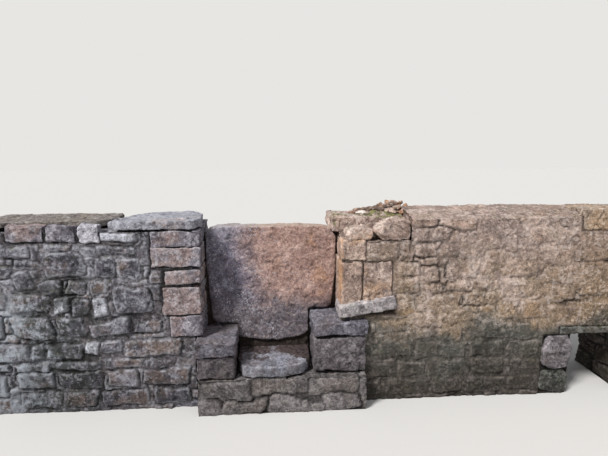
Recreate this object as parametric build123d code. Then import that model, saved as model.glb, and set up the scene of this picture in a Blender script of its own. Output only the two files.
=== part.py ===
from build123d import *
import os

# Stone wall stile. X runs along the wall, Y through it from the near face to the far face, Z up.
# The origin is under the middle of the upright slab, at the lowest ground that the wall meets.

# Main sizes of the wall, in millimetres
WALL_THICK = 520
GAP = 1000
LEFT_LENGTH = 1600
RIGHT_LENGTH = 2800
PATH_Z = 350
ARRIS = 12
SOFT_ARRIS = 22

NEAR = -WALL_THICK / 2
FAR = WALL_THICK / 2
LEFT_JAMB = -GAP / 2
RIGHT_JAMB = GAP / 2
LEFT_END = LEFT_JAMB - LEFT_LENGTH
RIGHT_END = RIGHT_JAMB + RIGHT_LENGTH

# Left quoins, from the lowest up: heights of the beds and lengths along the wall
LEFT_BEDS = [556, 718, 942, 1067, 1225, 1345]
LEFT_QUOIN_LENGTHS = [235, 285, 270, 350, 350]
LEFT_TOP = LEFT_BEDS[-1]

# Right quoins, from the lowest up, and the face stone beside the tall one
RIGHT_BEDS = [720, 1098, 1258]
RIGHT_QUOIN_LENGTHS = [160, 190]
PIER_TOP = RIGHT_BEDS[-1]
PIER_STONE_LENGTH = 230
PIER_STONE_DEPTH = 260
PIER_STONE_BED = 790
RIGHT_TOP = 1380

# Stones along the top of the right pier
PIER_CAP_OVERHANG = 55
PIER_CAP_Y = -90
PIER_CAP_BED = 1312
PIER_CAP_THICK = 88
OVAL_STONE_INSET = 30
OVAL_STONE_LENGTH = 212
OVAL_STONE_HEIGHT = 90
OVAL_STONE_ROUND = 36
RIGHT_TOP_STONE_LENGTH = 262
RIGHT_TOP_STONE_HEIGHT = 142
PIER_CAP_X0 = RIGHT_JAMB - PIER_CAP_OVERHANG
OVAL_STONE_X0 = RIGHT_JAMB + OVAL_STONE_INSET
OVAL_STONE_X1 = OVAL_STONE_X0 + OVAL_STONE_LENGTH
PIER_X1 = OVAL_STONE_X1 + RIGHT_TOP_STONE_LENGTH

# Upright slab
SLAB_THICK = 130
SLAB_FACE_Y = -30
SLAB_TOP = 1328
SLAB_SIDE_GAP = 10
SLAB_LEFT_DROP = 18
SLAB_LEFT_RUN = 150
SLAB_RIGHT_DROP = 70
SLAB_RIGHT_RUN = 30
SLAB_FOOT_INSET_LEFT = 30
SLAB_FOOT_INSET_RIGHT = 24
SLAB_TOE = 412
SLAB_TOE_RISE = 36
SLAB_ARRIS = 18
SLAB_BED_RECESS = 22

# Step blocks, whose tops carry the shoulders of the slab
STEP_SIDES = {
    "left": {"x0": -550, "x1": -262, "reach": 132, "top": LEFT_BEDS[0], "bed": 440},
    "right": {"x0": 290, "x1": 700, "reach": 84, "top": 668, "bed": 552},
}
STEP_BASE_SET_IN = 14

# Doorstep slabs at the foot of the slab, and the footing under all of them
DOORSTEP_THICK = 90
DOORSTEP_RISE = 15
DOORSTEP_TOP = PATH_Z + DOORSTEP_RISE
DOORSTEP_REACH = 122
DOORSTEP_CORNER = 70
DOORSTEP_WORN_CORNER = 140
FOOTING_TOP = DOORSTEP_TOP - DOORSTEP_THICK

# Ledge stone: it tilts up to the right and stands proud of the wall
LEDGE_LENGTH = 415
LEDGE_THICK = 88
LEDGE_DEPTH = 210
LEDGE_PROUD = 50
LEDGE_TILT = 9.5
LEDGE_LEFT = 508
LEDGE_LOW = 684
PACKING_LENGTH = 300
PACKING_DEPTH = 150
PACKING_RECESS = 30

# Stones along the top of the left wall
CAP_THICK = 66
CAP_PROUD = 8
CAP_OVERHANG = 12
CAP_LENGTH = 640
CAP_BACK_INSET = 24
CAP_CUT = 120
CAP_NEAR_CUT = 60
CAP_SIDE_CUT = 40
CAP_BACK_LENGTH = 450
TOP_STONE_DEPTH = 120
TOP_STONE_BED = 1262
TOP_STONE_RISE = 42
TOP_STONE_LENGTHS = [270, 210, 160]
TOP_STONE_CAP_GAP = 52
BACK_CAP_THICK = 54

# Weathered top of the right wall, in section, and the stones on it
RIDGE_FRONT = 26
RIDGE_SHOULDER = 60
RIDGE_SHOULDER_IN = 130
RIDGE_CREST = 86
RIDGE_CREST_IN = 325
RIDGE_BACK = 50
HEAP_LENGTH = 360
HEAP_WIDTH = 270
HEAP_HEIGHT = 100
HEAP_SLOPE = 45
END_STONE_X0 = 2300
END_STONE_LENGTH = 620
END_STONE_BED = 1300
END_STONE_HEIGHT = 172
END_STONE_DEPTH = 240

# Low opening through the wall
OPENING_X0 = 2310
OPENING_WIDTH = 420
OPENING_HEIGHT = 490
OPENING_X1 = OPENING_X0 + OPENING_WIDTH
LINTEL_THICK = 62
LINTEL_BEARING_LEFT = 110
LINTEL_BEARING_RIGHT = 220
LINTEL_PROUD = 12
LINTEL_TOP = OPENING_HEIGHT + LINTEL_THICK
JAMB_STONE_LENGTH = 230
JAMB_STONE_BED = 210
JAMB_STONE_PROUD = 24
JAMB_STONE_DEPTH = 260

# Rubble: its mortar is set back, and the main stones stand out of it to the face of the wall.
# Each stone is its start and length along the mass, its bed and height, and its turn in degrees.
MORTAR_SET_BACK = 14
RUBBLE_STONE_DEPTH = 60
LEFT_STONES = [
    (380, 280, 1272, 62, 0),
    (370, 160, 1000, 150, -2),
    (540, 130, 1010, 150, 3),
    (740, 290, 1030, 170, -1),
    (1110, 190, 1158, 76, -2),
    (1110, 130, 940, 140, -14),
    (1330, 230, 1040, 150, 2),
    (300, 260, 745, 190, 0),
    (1310, 250, 800, 165, -3),
    (245, 190, 592, 84, -5),
    (455, 295, 580, 115, -9),
    (1000, 280, 575, 165, 3),
    (1330, 230, 585, 150, 0),
    (110, 400, 420, 125, -2),
    (530, 150, 450, 90, -3),
    (800, 260, 410, 120, 2),
    (1180, 330, 400, 140, -1),
    (400, 255, 1183, 58, 3),
    (600, 115, 733, 128, -8),
    (740, 115, 738, 118, 2),
    (872, 112, 765, 112, -3),
    (1015, 260, 772, 132, 2),
    (600, 110, 885, 95, -3),
    (738, 150, 892, 108, 3),
    (925, 150, 905, 100, -3),
    (782, 185, 582, 148, 2),
    (690, 95, 432, 108, 4),
    (1078, 88, 405, 128, -2),
    (390, 270, 326, 76, 1),
    (690, 330, 326, 66, -1),
    (1050, 240, 324, 62, 1),
    (1320, 220, 324, 60, -1),
]
RIGHT_STONES = [
    (200, 230, 1115, 128, 0),
    (530, 270, 1245, 90, -2),
    (900, 300, 1180, 140, 2),
    (1330, 280, 1210, 120, -2),
    (620, 115, 930, 120, -6),
    (790, 240, 960, 130, 3),
    (1180, 300, 960, 150, -1),
    (1530, 240, 900, 120, 2),
    (560, 230, 700, 120, -2),
    (930, 260, 740, 110, 2),
    (1380, 200, 635, 135, 3),
    (280, 220, 550, 95, -2),
    (570, 140, 485, 80, 0),
    (1090, 440, 470, 140, 3),
    (1000, 280, 335, 115, -3),
    (300, 250, 345, 130, 2),
    (440, 75, 1122, 108, 0),
    (545, 160, 1128, 98, 2),
    (735, 145, 1118, 112, -2),
    (1228, 80, 1150, 125, -2),
    (1505, 265, 1045, 132, 1),
    (1640, 150, 1205, 118, -2),
    (1052, 108, 982, 122, 3),
    (410, 185, 985, 108, 2),
    (415, 165, 850, 112, -2),
    (620, 150, 838, 74, 1),
    (800, 200, 862, 76, 1),
    (1022, 140, 868, 74, -2),
    (1212, 270, 800, 132, -1),
    (1615, 175, 600, 130, 2),
    (1612, 178, 758, 118, -2),
    (822, 228, 606, 112, -1),
    (562, 215, 590, 88, 2),
    (745, 200, 470, 106, 1),
    (575, 180, 340, 118, -2),
    (780, 195, 340, 108, 2),
    (1310, 250, 335, 115, 1),
    (1208, 145, 640, 122, 2),
]
OVER_STONES = [
    (15, 390, 1070, 205, -1),
    (15, 390, 800, 220, 0),
    (40, 270, 600, 150, -2),
]
END_STONES = [
    (15, 380, 880, 185, -2),
    (20, 230, 1110, 150, 2),
    (280, 260, 1110, 160, -1),
    (20, 250, 620, 190, 2),
    (310, 230, 610, 200, -2),
    (20, 300, 350, 160, 0),
    (350, 190, 360, 170, 3),
]
FOOT_COURSES = [(40, 125), (190, 125)]
FOOT_STONE_LENGTHS = [260, 340, 220, 300]
FOOT_STONE_START = 60
FOOT_STONE_JOINT = 34


def block(x0, x1, y0, y1, z0, z1):
    """A squared block between two corners."""
    return Pos((x0 + x1) / 2, (y0 + y1) / 2, (z0 + z1) / 2) * Box(x1 - x0, y1 - y0, z1 - z0)


def through_stone(x0, x1, y0, y1, z0, z1, arris=ARRIS):
    """A stone through the wall, with worn arrises round both of its faces."""
    body = block(x0, x1, y0, y1, z0, z1)
    faces = body.faces().sort_by(Axis.Y)
    return chamfer(faces[0].edges() + faces[-1].edges(), arris)


def face_stone(x0, x1, y0, y1, z0, z1, arris=ARRIS):
    """A stone that shows on the near side, with worn arrises round its face."""
    body = block(x0, x1, y0, y1, z0, z1)
    return chamfer(body.faces().sort_by(Axis.Y)[0].edges(), arris)


def top_stone(x0, x1, y0, y1, z0, z1, arris=ARRIS):
    """A stone on the wall top, with worn arrises round its upper face."""
    body = block(x0, x1, y0, y1, z0, z1)
    return chamfer(body.faces().sort_by(Axis.Z)[-1].edges(), arris)


def rubble_stone(x0, length, z0, height, turn):
    """A main stone in a rubble face, its back held in the mortar."""
    body = Box(length, RUBBLE_STONE_DEPTH, height)
    body = chamfer(body.faces().sort_by(Axis.Y)[0].edges(), ARRIS)
    middle = Pos(x0 + length / 2, NEAR + RUBBLE_STONE_DEPTH / 2, z0 + height / 2)
    return middle * Rot(0, turn, 0) * body


def extruded_xz(outline, y0, y1):
    """A solid between two planes across the wall, from its outline seen from the near side."""
    return Pos(0, y1, 0) * extrude(Plane.XZ * outline, y1 - y0)


def far_copy(body):
    """The same stone on the far side of the wall."""
    return mirror(body, Plane.XZ)


parts = {}


# The slab in the gap
def slab_outline():
    """Square shoulders that sit on the step blocks, and a rounded toe between them."""
    left = LEFT_JAMB + SLAB_SIDE_GAP
    right = RIGHT_JAMB - SLAB_SIDE_GAP
    toe_left = (STEP_SIDES["left"]["x1"], SLAB_TOE + SLAB_TOE_RISE)
    toe_right = (STEP_SIDES["right"]["x0"], SLAB_TOE + SLAB_TOE_RISE)
    toe_low = ((toe_left[0] + toe_right[0]) / 2, SLAB_TOE)
    toe = ThreePointArc(toe_left, toe_low, toe_right)
    rest = Polyline(
        toe_right,
        (toe_right[0], STEP_SIDES["right"]["top"]),
        (right - SLAB_FOOT_INSET_RIGHT, STEP_SIDES["right"]["top"]),
        (right, SLAB_TOP - SLAB_RIGHT_DROP),
        (PIER_CAP_X0, PIER_CAP_BED),
        (PIER_CAP_X0 - SLAB_RIGHT_RUN, SLAB_TOP),
        (left + SLAB_LEFT_RUN, SLAB_TOP),
        (left, SLAB_TOP - SLAB_LEFT_DROP),
        (left + SLAB_FOOT_INSET_LEFT, STEP_SIDES["left"]["top"]),
        (toe_left[0], STEP_SIDES["left"]["top"]),
        toe_left,
    )
    return make_face(toe + rest)


def make_slab():
    """The slab on edge, its top arrises worn by boots, and the packing under its toe."""
    y1 = SLAB_FACE_Y + SLAB_THICK
    slab = extruded_xz(slab_outline(), SLAB_FACE_Y, y1)
    top_edges = slab.edges().filter_by(Axis.X).sort_by(Axis.Z)[-2:]
    parts["upright_slab"] = chamfer(top_edges, SLAB_ARRIS)
    bed = block(
        STEP_SIDES["left"]["x1"],
        STEP_SIDES["right"]["x0"],
        SLAB_FACE_Y + SLAB_BED_RECESS,
        y1 - SLAB_BED_RECESS,
        FOOTING_TOP,
        SLAB_TOE + SLAB_TOE_RISE,
    )
    parts["slab_bed"] = bed - slab


def make_steps():
    """Near and far step blocks that meet under the slab, each on a stone of its own."""
    for side, size in STEP_SIDES.items():
        near_y = NEAR - size["reach"]
        step = face_stone(size["x0"], size["x1"], near_y, 0, size["bed"], size["top"], SOFT_ARRIS)
        base = face_stone(
            size["x0"], size["x1"], near_y + STEP_BASE_SET_IN, 0, FOOTING_TOP, size["bed"]
        )
        parts[f"near_{side}_step"] = step
        parts[f"near_{side}_step_base"] = base
        parts[f"far_{side}_step"] = far_copy(step)
        parts[f"far_{side}_step_base"] = far_copy(base)


def make_doorsteps():
    """Worn slabs sunk between the step blocks, and the footing that carries the gap."""
    x0 = STEP_SIDES["left"]["x1"]
    x1 = STEP_SIDES["right"]["x0"]
    near_y = NEAR - DOORSTEP_REACH
    back_y = SLAB_FACE_Y + SLAB_BED_RECESS
    outline = make_face(
        Polyline(
            (x0, back_y),
            (x0, near_y + DOORSTEP_CORNER),
            (x0 + DOORSTEP_CORNER, near_y),
            (x1 - DOORSTEP_WORN_CORNER, near_y),
            (x1, near_y + DOORSTEP_WORN_CORNER),
            (x1, back_y),
            close=True,
        )
    )
    near = Pos(0, 0, FOOTING_TOP) * extrude(outline, DOORSTEP_THICK)
    near = chamfer(near.faces().sort_by(Axis.Z)[-1].edges().sort_by(Axis.Y)[0], ARRIS)
    parts["near_doorstep"] = near
    far_back = SLAB_FACE_Y + SLAB_THICK - SLAB_BED_RECESS
    strip = block(x0, x1, 0, far_back, FOOTING_TOP, DOORSTEP_TOP)
    parts["far_doorstep"] = far_copy(near) - strip
    reach = max(size["reach"] for size in STEP_SIDES.values())
    parts["threshold_footing"] = block(
        STEP_SIDES["left"]["x0"], STEP_SIDES["right"]["x1"], NEAR - reach, FAR + reach, 0, FOOTING_TOP
    )


# Left side of the gap
def make_left_quoins():
    """Squared jamb stones, each through the wall, on one another's beds."""
    for number, length in enumerate(LEFT_QUOIN_LENGTHS):
        parts[f"left_quoin_{number + 1}"] = through_stone(
            LEFT_JAMB - length, LEFT_JAMB, NEAR, FAR, LEFT_BEDS[number], LEFT_BEDS[number + 1]
        )


def make_left_top():
    """The cap stone over the jamb, the broad slab behind and the face stones in front of it."""
    x1 = LEFT_JAMB + CAP_OVERHANG
    x0 = x1 - CAP_LENGTH
    near_y = NEAR - CAP_PROUD
    back_y = FAR - CAP_BACK_INSET
    outline = make_face(
        Polyline(
            (x0, near_y + CAP_PROUD),
            (x0 + CAP_CUT, near_y),
            (x1 - CAP_NEAR_CUT, near_y),
            (x1, near_y + CAP_CUT),
            (x1 - CAP_SIDE_CUT, FAR - CAP_CUT),
            (x1 - CAP_CUT, back_y),
            (LEFT_JAMB - CAP_BACK_LENGTH, back_y),
            (x0, NEAR + TOP_STONE_DEPTH),
            close=True,
        )
    )
    cap = Pos(0, 0, LEFT_TOP) * extrude(outline, CAP_THICK)
    parts["left_cap_stone"] = chamfer(cap.faces().sort_by(Axis.Z)[-1].edges(), ARRIS)

    slab = top_stone(
        LEFT_END, x0, NEAR + TOP_STONE_DEPTH, FAR, LEFT_TOP, LEFT_TOP + BACK_CAP_THICK, SOFT_ARRIS
    )
    parts["left_back_cap"] = slab
    start = x0 - TOP_STONE_CAP_GAP - sum(TOP_STONE_LENGTHS)
    for number, length in enumerate(TOP_STONE_LENGTHS):
        parts[f"left_top_stone_{number + 1}"] = face_stone(
            start,
            start + length,
            NEAR,
            NEAR + TOP_STONE_DEPTH,
            TOP_STONE_BED,
            LEFT_TOP + TOP_STONE_RISE,
        )
        start += length


# Right side of the gap
def make_right_pier():
    """The two jamb stones, the stone beside them and the stones on top of the pier."""
    for number, length in enumerate(RIGHT_QUOIN_LENGTHS):
        parts[f"right_quoin_{number + 1}"] = through_stone(
            RIGHT_JAMB, RIGHT_JAMB + length, NEAR, FAR, RIGHT_BEDS[number], RIGHT_BEDS[number + 1]
        )
    x0 = RIGHT_JAMB + RIGHT_QUOIN_LENGTHS[0]
    parts["right_pier_stone"] = face_stone(
        x0, x0 + PIER_STONE_LENGTH, NEAR, NEAR + PIER_STONE_DEPTH, PIER_STONE_BED, RIGHT_BEDS[1]
    )
    cap_top = PIER_CAP_BED + PIER_CAP_THICK
    parts["right_pier_cap"] = top_stone(PIER_CAP_X0, PIER_X1, PIER_CAP_Y, FAR, PIER_CAP_BED, cap_top)
    oval_top = PIER_TOP + OVAL_STONE_HEIGHT
    oval = block(OVAL_STONE_X0, OVAL_STONE_X1, NEAR, PIER_CAP_Y, PIER_TOP, oval_top)
    parts["right_top_stone_1"] = fillet(oval.edges().filter_by(Axis.Y), OVAL_STONE_ROUND)
    top = PIER_TOP + RIGHT_TOP_STONE_HEIGHT
    parts["right_top_stone_2"] = face_stone(
        OVAL_STONE_X1, PIER_X1, NEAR, PIER_CAP_Y, PIER_TOP, top, SOFT_ARRIS
    )


def make_ledge():
    """The tilted stone that stands proud over the right step, on packing set back under it."""
    ledge = block(0, LEDGE_LENGTH, NEAR - LEDGE_PROUD, NEAR - LEDGE_PROUD + LEDGE_DEPTH, 0, LEDGE_THICK)
    ledge = chamfer(ledge.faces().sort_by(Axis.Y)[0].edges(), ARRIS)
    ledge = Pos(LEDGE_LEFT, 0, LEDGE_LOW) * Rot(0, -LEDGE_TILT, 0) * ledge
    parts["right_ledge_stone"] = ledge
    packing = block(
        RIGHT_JAMB,
        RIGHT_JAMB + PACKING_LENGTH,
        NEAR + PACKING_RECESS,
        NEAR + PACKING_RECESS + PACKING_DEPTH,
        STEP_SIDES["right"]["top"],
        RIGHT_BEDS[0] + LEDGE_THICK,
    )
    for name in ("right_quoin_1", "right_pier_stone"):
        parts[name] = parts[name] - ledge
        packing = packing - parts[name]
    parts["ledge_packing"] = packing - ledge


def make_opening():
    """The lintel over the low opening and the two jamb stones on its left."""
    parts["opening_lintel"] = through_stone(
        OPENING_X0 - LINTEL_BEARING_LEFT,
        OPENING_X1 + LINTEL_BEARING_RIGHT,
        NEAR - LINTEL_PROUD,
        FAR + LINTEL_PROUD,
        OPENING_HEIGHT,
        LINTEL_TOP,
    )
    near_y = NEAR - JAMB_STONE_PROUD
    beds = {"lower": (0, JAMB_STONE_BED), "upper": (JAMB_STONE_BED, OPENING_HEIGHT)}
    for place, (z0, z1) in beds.items():
        parts[f"opening_jamb_stone_{place}"] = face_stone(
            OPENING_X0 - JAMB_STONE_LENGTH, OPENING_X0, near_y, near_y + JAMB_STONE_DEPTH, z0, z1, SOFT_ARRIS
        )


def make_right_top():
    """The weathered top of the right wall, the long stone let into it and the heap on the pier."""
    parts["right_end_top_stone"] = face_stone(
        END_STONE_X0,
        END_STONE_X0 + END_STONE_LENGTH,
        NEAR,
        NEAR + END_STONE_DEPTH,
        END_STONE_BED,
        END_STONE_BED + END_STONE_HEIGHT,
        SOFT_ARRIS,
    )
    section = make_face(
        Polyline(
            (NEAR, RIGHT_TOP),
            (NEAR, RIGHT_TOP + RIDGE_FRONT),
            (NEAR + RIDGE_SHOULDER_IN, RIGHT_TOP + RIDGE_SHOULDER),
            (NEAR + RIDGE_CREST_IN, RIGHT_TOP + RIDGE_CREST),
            (FAR, RIGHT_TOP + RIDGE_BACK),
            (FAR, RIGHT_TOP),
            close=True,
        )
    )
    ridge = Pos(PIER_X1, 0, 0) * extrude(Plane.YZ * section, RIGHT_END - PIER_X1)
    parts["right_wall_top"] = ridge - parts["right_end_top_stone"]
    heap_x = PIER_X1 - HEAP_LENGTH / 2
    heap_y = PIER_CAP_Y + ARRIS + HEAP_WIDTH / 2
    base = Rectangle(HEAP_LENGTH, HEAP_WIDTH)
    heap = extrude(base, HEAP_HEIGHT, taper=HEAP_SLOPE)
    parts["rubble_heap"] = Pos(heap_x, heap_y, PIER_CAP_BED + PIER_CAP_THICK) * heap


# Masonry masses, each cut to the stones that are bedded in it
def foot_stones(length):
    """The stones of the lowest courses, as far along a mass as whole ones go."""
    stones = []
    for course, (bed, height) in enumerate(FOOT_COURSES):
        start = FOOT_STONE_START
        number = course
        while start + FOOT_STONE_LENGTHS[number % len(FOOT_STONE_LENGTHS)] < length:
            stone_length = FOOT_STONE_LENGTHS[number % len(FOOT_STONE_LENGTHS)]
            stones.append((start, stone_length, bed, height, 0))
            start += stone_length + FOOT_STONE_JOINT
            number += 1
    return stones


def rubble_mass(x0, x1, z0, z1, stones, from_right=False):
    """Rubble with its mortar set back and the main stones, as far as it reaches, standing out of each face."""
    room = block(x0, x1, NEAR, FAR, z0, z1)
    mass = block(x0, x1, NEAR + MORTAR_SET_BACK, FAR - MORTAR_SET_BACK, z0, z1)
    shown = []
    for start, length, bed, height, turn in stones:
        if start >= x1 - x0:
            continue
        left = x1 - start - length if from_right else x0 + start
        body = rubble_stone(left, length, bed, height, turn) & room
        shown += [body, far_copy(body)]
    return mass + shown


def cut_round(body, names):
    """The mass of masonry with room for each of its stones."""
    for name in names:
        body = body - parts[name]
    return body


def make_masonry():
    """The rubble cores of the wall on both sides of the gap and round the opening."""
    near_stones = ["threshold_footing"]
    for side in STEP_SIDES:
        for name in ("near_{}_step", "near_{}_step_base", "far_{}_step", "far_{}_step_base"):
            near_stones.append(name.format(side))
    left_names = [f"left_quoin_{number + 1}" for number in range(len(LEFT_QUOIN_LENGTHS))]
    left_names += [f"left_top_stone_{number + 1}" for number in range(len(TOP_STONE_LENGTHS))]
    left_stones = LEFT_STONES + foot_stones(LEFT_LENGTH)
    left = rubble_mass(LEFT_END, LEFT_JAMB, 0, LEFT_TOP, left_stones, from_right=True)
    parts["left_wall_core"] = cut_round(left, left_names + near_stones)

    right_names = ["right_quoin_1", "right_quoin_2", "right_pier_stone", "right_ledge_stone"]
    right_names += ["ledge_packing", "opening_lintel", "opening_jamb_stone_lower"]
    right_names += ["opening_jamb_stone_upper", "right_end_top_stone"]
    right_stones = RIGHT_STONES + foot_stones(OPENING_X0 - JAMB_STONE_LENGTH - RIGHT_JAMB)
    right = rubble_mass(RIGHT_JAMB, OPENING_X0, 0, RIGHT_TOP, right_stones)
    right -= block(RIGHT_JAMB, PIER_X1, NEAR, PIER_CAP_Y, PIER_TOP, RIGHT_TOP)
    right -= block(RIGHT_JAMB, PIER_X1, PIER_CAP_Y, FAR, PIER_CAP_BED, RIGHT_TOP)
    parts["right_wall_core"] = cut_round(right, right_names + near_stones)

    over = rubble_mass(OPENING_X0, OPENING_X1, OPENING_HEIGHT, RIGHT_TOP, OVER_STONES)
    parts["over_opening_masonry"] = cut_round(over, ["opening_lintel", "right_end_top_stone"])
    end_stones = END_STONES + foot_stones(RIGHT_END - OPENING_X1)
    end = rubble_mass(OPENING_X1, RIGHT_END, 0, RIGHT_TOP, end_stones)
    parts["right_end_masonry"] = cut_round(end, ["opening_lintel", "right_end_top_stone"])


make_slab()
make_steps()
make_doorsteps()
make_left_quoins()
make_left_top()
make_right_pier()
make_ledge()
make_opening()
make_right_top()
make_masonry()

os.makedirs("parts", exist_ok=True)
for name, body in parts.items():
    export_step(body, f"parts/{name}.step")
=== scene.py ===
import math
import random

import bmesh
import bpy
import numpy as np
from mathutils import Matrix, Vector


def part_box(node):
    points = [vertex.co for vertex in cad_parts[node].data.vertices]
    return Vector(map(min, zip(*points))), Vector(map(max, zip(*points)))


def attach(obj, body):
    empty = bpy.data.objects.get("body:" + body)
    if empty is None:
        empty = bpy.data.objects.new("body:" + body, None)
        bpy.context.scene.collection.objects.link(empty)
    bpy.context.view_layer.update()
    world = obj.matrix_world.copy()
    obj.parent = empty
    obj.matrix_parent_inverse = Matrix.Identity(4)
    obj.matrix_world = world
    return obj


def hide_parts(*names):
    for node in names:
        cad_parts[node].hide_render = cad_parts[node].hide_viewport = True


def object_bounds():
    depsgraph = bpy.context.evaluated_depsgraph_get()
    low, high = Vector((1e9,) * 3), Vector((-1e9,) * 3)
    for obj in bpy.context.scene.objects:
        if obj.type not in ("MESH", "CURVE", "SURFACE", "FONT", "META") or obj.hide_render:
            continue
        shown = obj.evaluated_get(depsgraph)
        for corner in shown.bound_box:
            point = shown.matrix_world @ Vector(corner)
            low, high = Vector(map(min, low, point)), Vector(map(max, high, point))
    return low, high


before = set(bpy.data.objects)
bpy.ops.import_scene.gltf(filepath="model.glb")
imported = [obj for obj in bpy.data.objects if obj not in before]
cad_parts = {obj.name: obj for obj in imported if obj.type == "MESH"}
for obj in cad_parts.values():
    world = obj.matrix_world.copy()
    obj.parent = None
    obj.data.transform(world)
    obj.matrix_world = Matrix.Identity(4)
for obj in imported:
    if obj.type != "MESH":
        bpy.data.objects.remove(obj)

cad_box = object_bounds()

# Main places, read from the frame, in metres
LEFT_LO, LEFT_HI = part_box("left_wall_core")
RIGHT_LO, RIGHT_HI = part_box("right_wall_core")
END_LO, END_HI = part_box("right_end_masonry")
RIDGE_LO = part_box("right_wall_top")[0]
PIER_CAP_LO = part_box("right_pier_cap")[0]
NEAR_Y, FAR_Y = LEFT_LO[1], LEFT_HI[1]
LEFT_JAMB = LEFT_HI[0]
RIGHT_JAMB = RIGHT_LO[0]
OPENING_X0 = RIGHT_HI[0]
OPENING_X1 = END_LO[0]
OPENING_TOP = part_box("opening_lintel")[0][2]

# How finely surfaces are divided, in metres
NEAR_GRID = 0.0090
RIGHT_GRID = 0.0108
SIDE_GRID = 0.026
FOOTING_GRID = 0.014
FOOTING_SIDE_GRID = 0.02
HERO_VOXEL = 0.0075
STONE_VOXEL = 0.0085
PACKING_VOXEL = 0.012

# Joints between stones, and how far mortar, sides and ends are set back, in metres
JOINT_DEPTH = 0.016
SHALLOW_JOINT = 0.010
BEHIND_STONES = 0.030
JOINT_SOFT = 0.007
STONE_GAP = 0.003
ZONE_JOINT = 0.004
MORTAR_SET_BACK = 0.014
SIDE_SET_BACK = 0.012
END_SET_BACK = 0.016

# Chance sizes and places of the rubble, in metres or as shares of a course
STONE_OVERLAP = 0.006
LEAST_HALF_SIDES = (0.02, 0.015)
STONE_TURN = 0.10
COURSE_SHARES = (0.85, 1.15)
SHIFT_SHARE = 0.16
SPLIT_HEIGHT = 0.11
SPLIT_CHANCE = 0.25
SPLIT_SHARES = (0.42, 0.60)
PROUD_RANGE = (-0.012, 0.003)

# The highest tone of a chance stone, below those that the materials bleach
UNBLEACHED = 0.95

# The outline of one stone: how far it leans, tapers and rounds its corners, as shares
LEAN_SHARE = 0.30
TAPER_SHARE = 0.22
CORNER_SHARE = 0.26

# How far beyond a stone's outline points are reckoned with it
STONE_REACH = 0.06

# A number that turns a stone's tone into a second chance number
TONE_SPREAD = 7.31

# Where the sides of a dressed stone bend, as shares of each side
SIDE_PARTS = (0, 0.27, 0.55, 0.8)

# The lowest courses of both walls: bed and height of each, and the stones along it
FOOT_COURSES = ((0.040, 0.125), (0.190, 0.125))
FOOT_STONE_LENGTHS = (0.26, 0.34, 0.22, 0.30)
FOOT_STONE_START = 0.06
FOOT_STONE_JOINT = 0.034


# Noise
def lattice(ix, iy, iz, seed):
    """A number from 0 to 1 for each point of a whole-number lattice."""
    h = (ix * 374761393 + iy * 668265263 + iz * 1103515245 + seed * 144665) & 0xFFFFFFFF
    h = ((h ^ (h >> 13)) * 1274126177) & 0xFFFFFFFF
    return ((h ^ (h >> 16)) & 0xFFFF) / 65535.0


def smooth_noise(p, seed):
    """Smooth noise from -1 to 1 at each row of p."""
    cell = np.floor(p).astype(np.int64)
    f = p - cell
    f = f * f * (3 - 2 * f)
    total = np.zeros(len(p))
    for corner in np.ndindex(2, 2, 2):
        wx, wy, wz = (f[:, k] if corner[k] else 1 - f[:, k] for k in range(3))
        total += wx * wy * wz * lattice(*(cell[:, k] + corner[k] for k in range(3)), seed)
    return total * 2 - 1


def fractal(p, size, octaves, seed, keep=0.5):
    """Layers of smooth noise, the largest of the given size in metres."""
    shift, finer = 17.3, 2.03
    total = np.zeros(len(p))
    height, reach = 1.0, 0.0
    scaled = p / size
    for octave in range(octaves):
        total += height * smooth_noise(scaled + shift * octave, seed + octave)
        reach += height
        height *= keep
        scaled = scaled * finer
    return total / reach


def facets(p, size, seed):
    """Flat broken faces at chance tilts, about size across, as heights of about -1 to 1."""
    q = p / size
    q = q + 0.30 * np.stack([smooth_noise(q * 1.7 + 5.1 * k, seed + 40 + k) for k in range(3)], axis=1)
    cell = np.floor(q).astype(np.int64)
    nearest = np.full(len(q), 9.0)
    height = np.zeros(len(q))
    for step in np.ndindex(3, 3, 3):
        c = cell + (np.array(step) - 1)
        chance = [lattice(c[:, 0], c[:, 1], c[:, 2], seed + 50 + k) for k in range(7)]
        away = q - c - np.stack(chance[:3], axis=1)
        distance = (away ** 2).sum(axis=1)
        tilt = np.stack(chance[3:6], axis=1) * 2 - 1
        value = (away * tilt).sum(axis=1) + (chance[6] - 0.5) * 0.8
        height = np.where(distance < nearest, value, height)
        nearest = np.minimum(nearest, distance)
    return height


def fade(edge0, edge1, x):
    """0 at edge0, 1 at edge1, smooth between and level beyond them."""
    t = np.clip((x - edge0) / (edge1 - edge0), 0, 1)
    return t * t * (3 - 2 * t)


# Layouts of stones on a face: each stone is (u, v, half length, half height, turn, proud, tone)
def stone_row(u0, u1, v0, v1, rng, length=(0.15, 0.40)):
    """One rough course of rubble between two heights. The stones overlap and cut one another."""
    made = []
    u = u0 - rng.uniform(0, 0.1)
    while u < u1:
        step = rng.uniform(*length)
        height = (v1 - v0) * rng.uniform(*COURSE_SHARES)
        mid = (v0 + v1) / 2 + rng.uniform(-SHIFT_SHARE, SHIFT_SHARE) * (v1 - v0)
        low, high = mid - height / 2, mid + height / 2
        spans = [(low, high)]
        if height > SPLIT_HEIGHT and rng.random() < SPLIT_CHANCE:
            cut = low + height * rng.uniform(*SPLIT_SHARES)
            spans = [(low, cut), (cut, high)]
        for a, b in spans:
            half_length = max(step / 2 + STONE_OVERLAP, LEAST_HALF_SIDES[0])
            half_height = max((b - a) / 2 + STONE_OVERLAP, LEAST_HALF_SIDES[1])
            turn = rng.gauss(0, STONE_TURN)
            proud = rng.uniform(*PROUD_RANGE)
            tone = min(rng.random(), UNBLEACHED)
            made.append((u + step / 2, (a + b) / 2, half_length, half_height, turn, proud, tone))
        u += step
    return made


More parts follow.
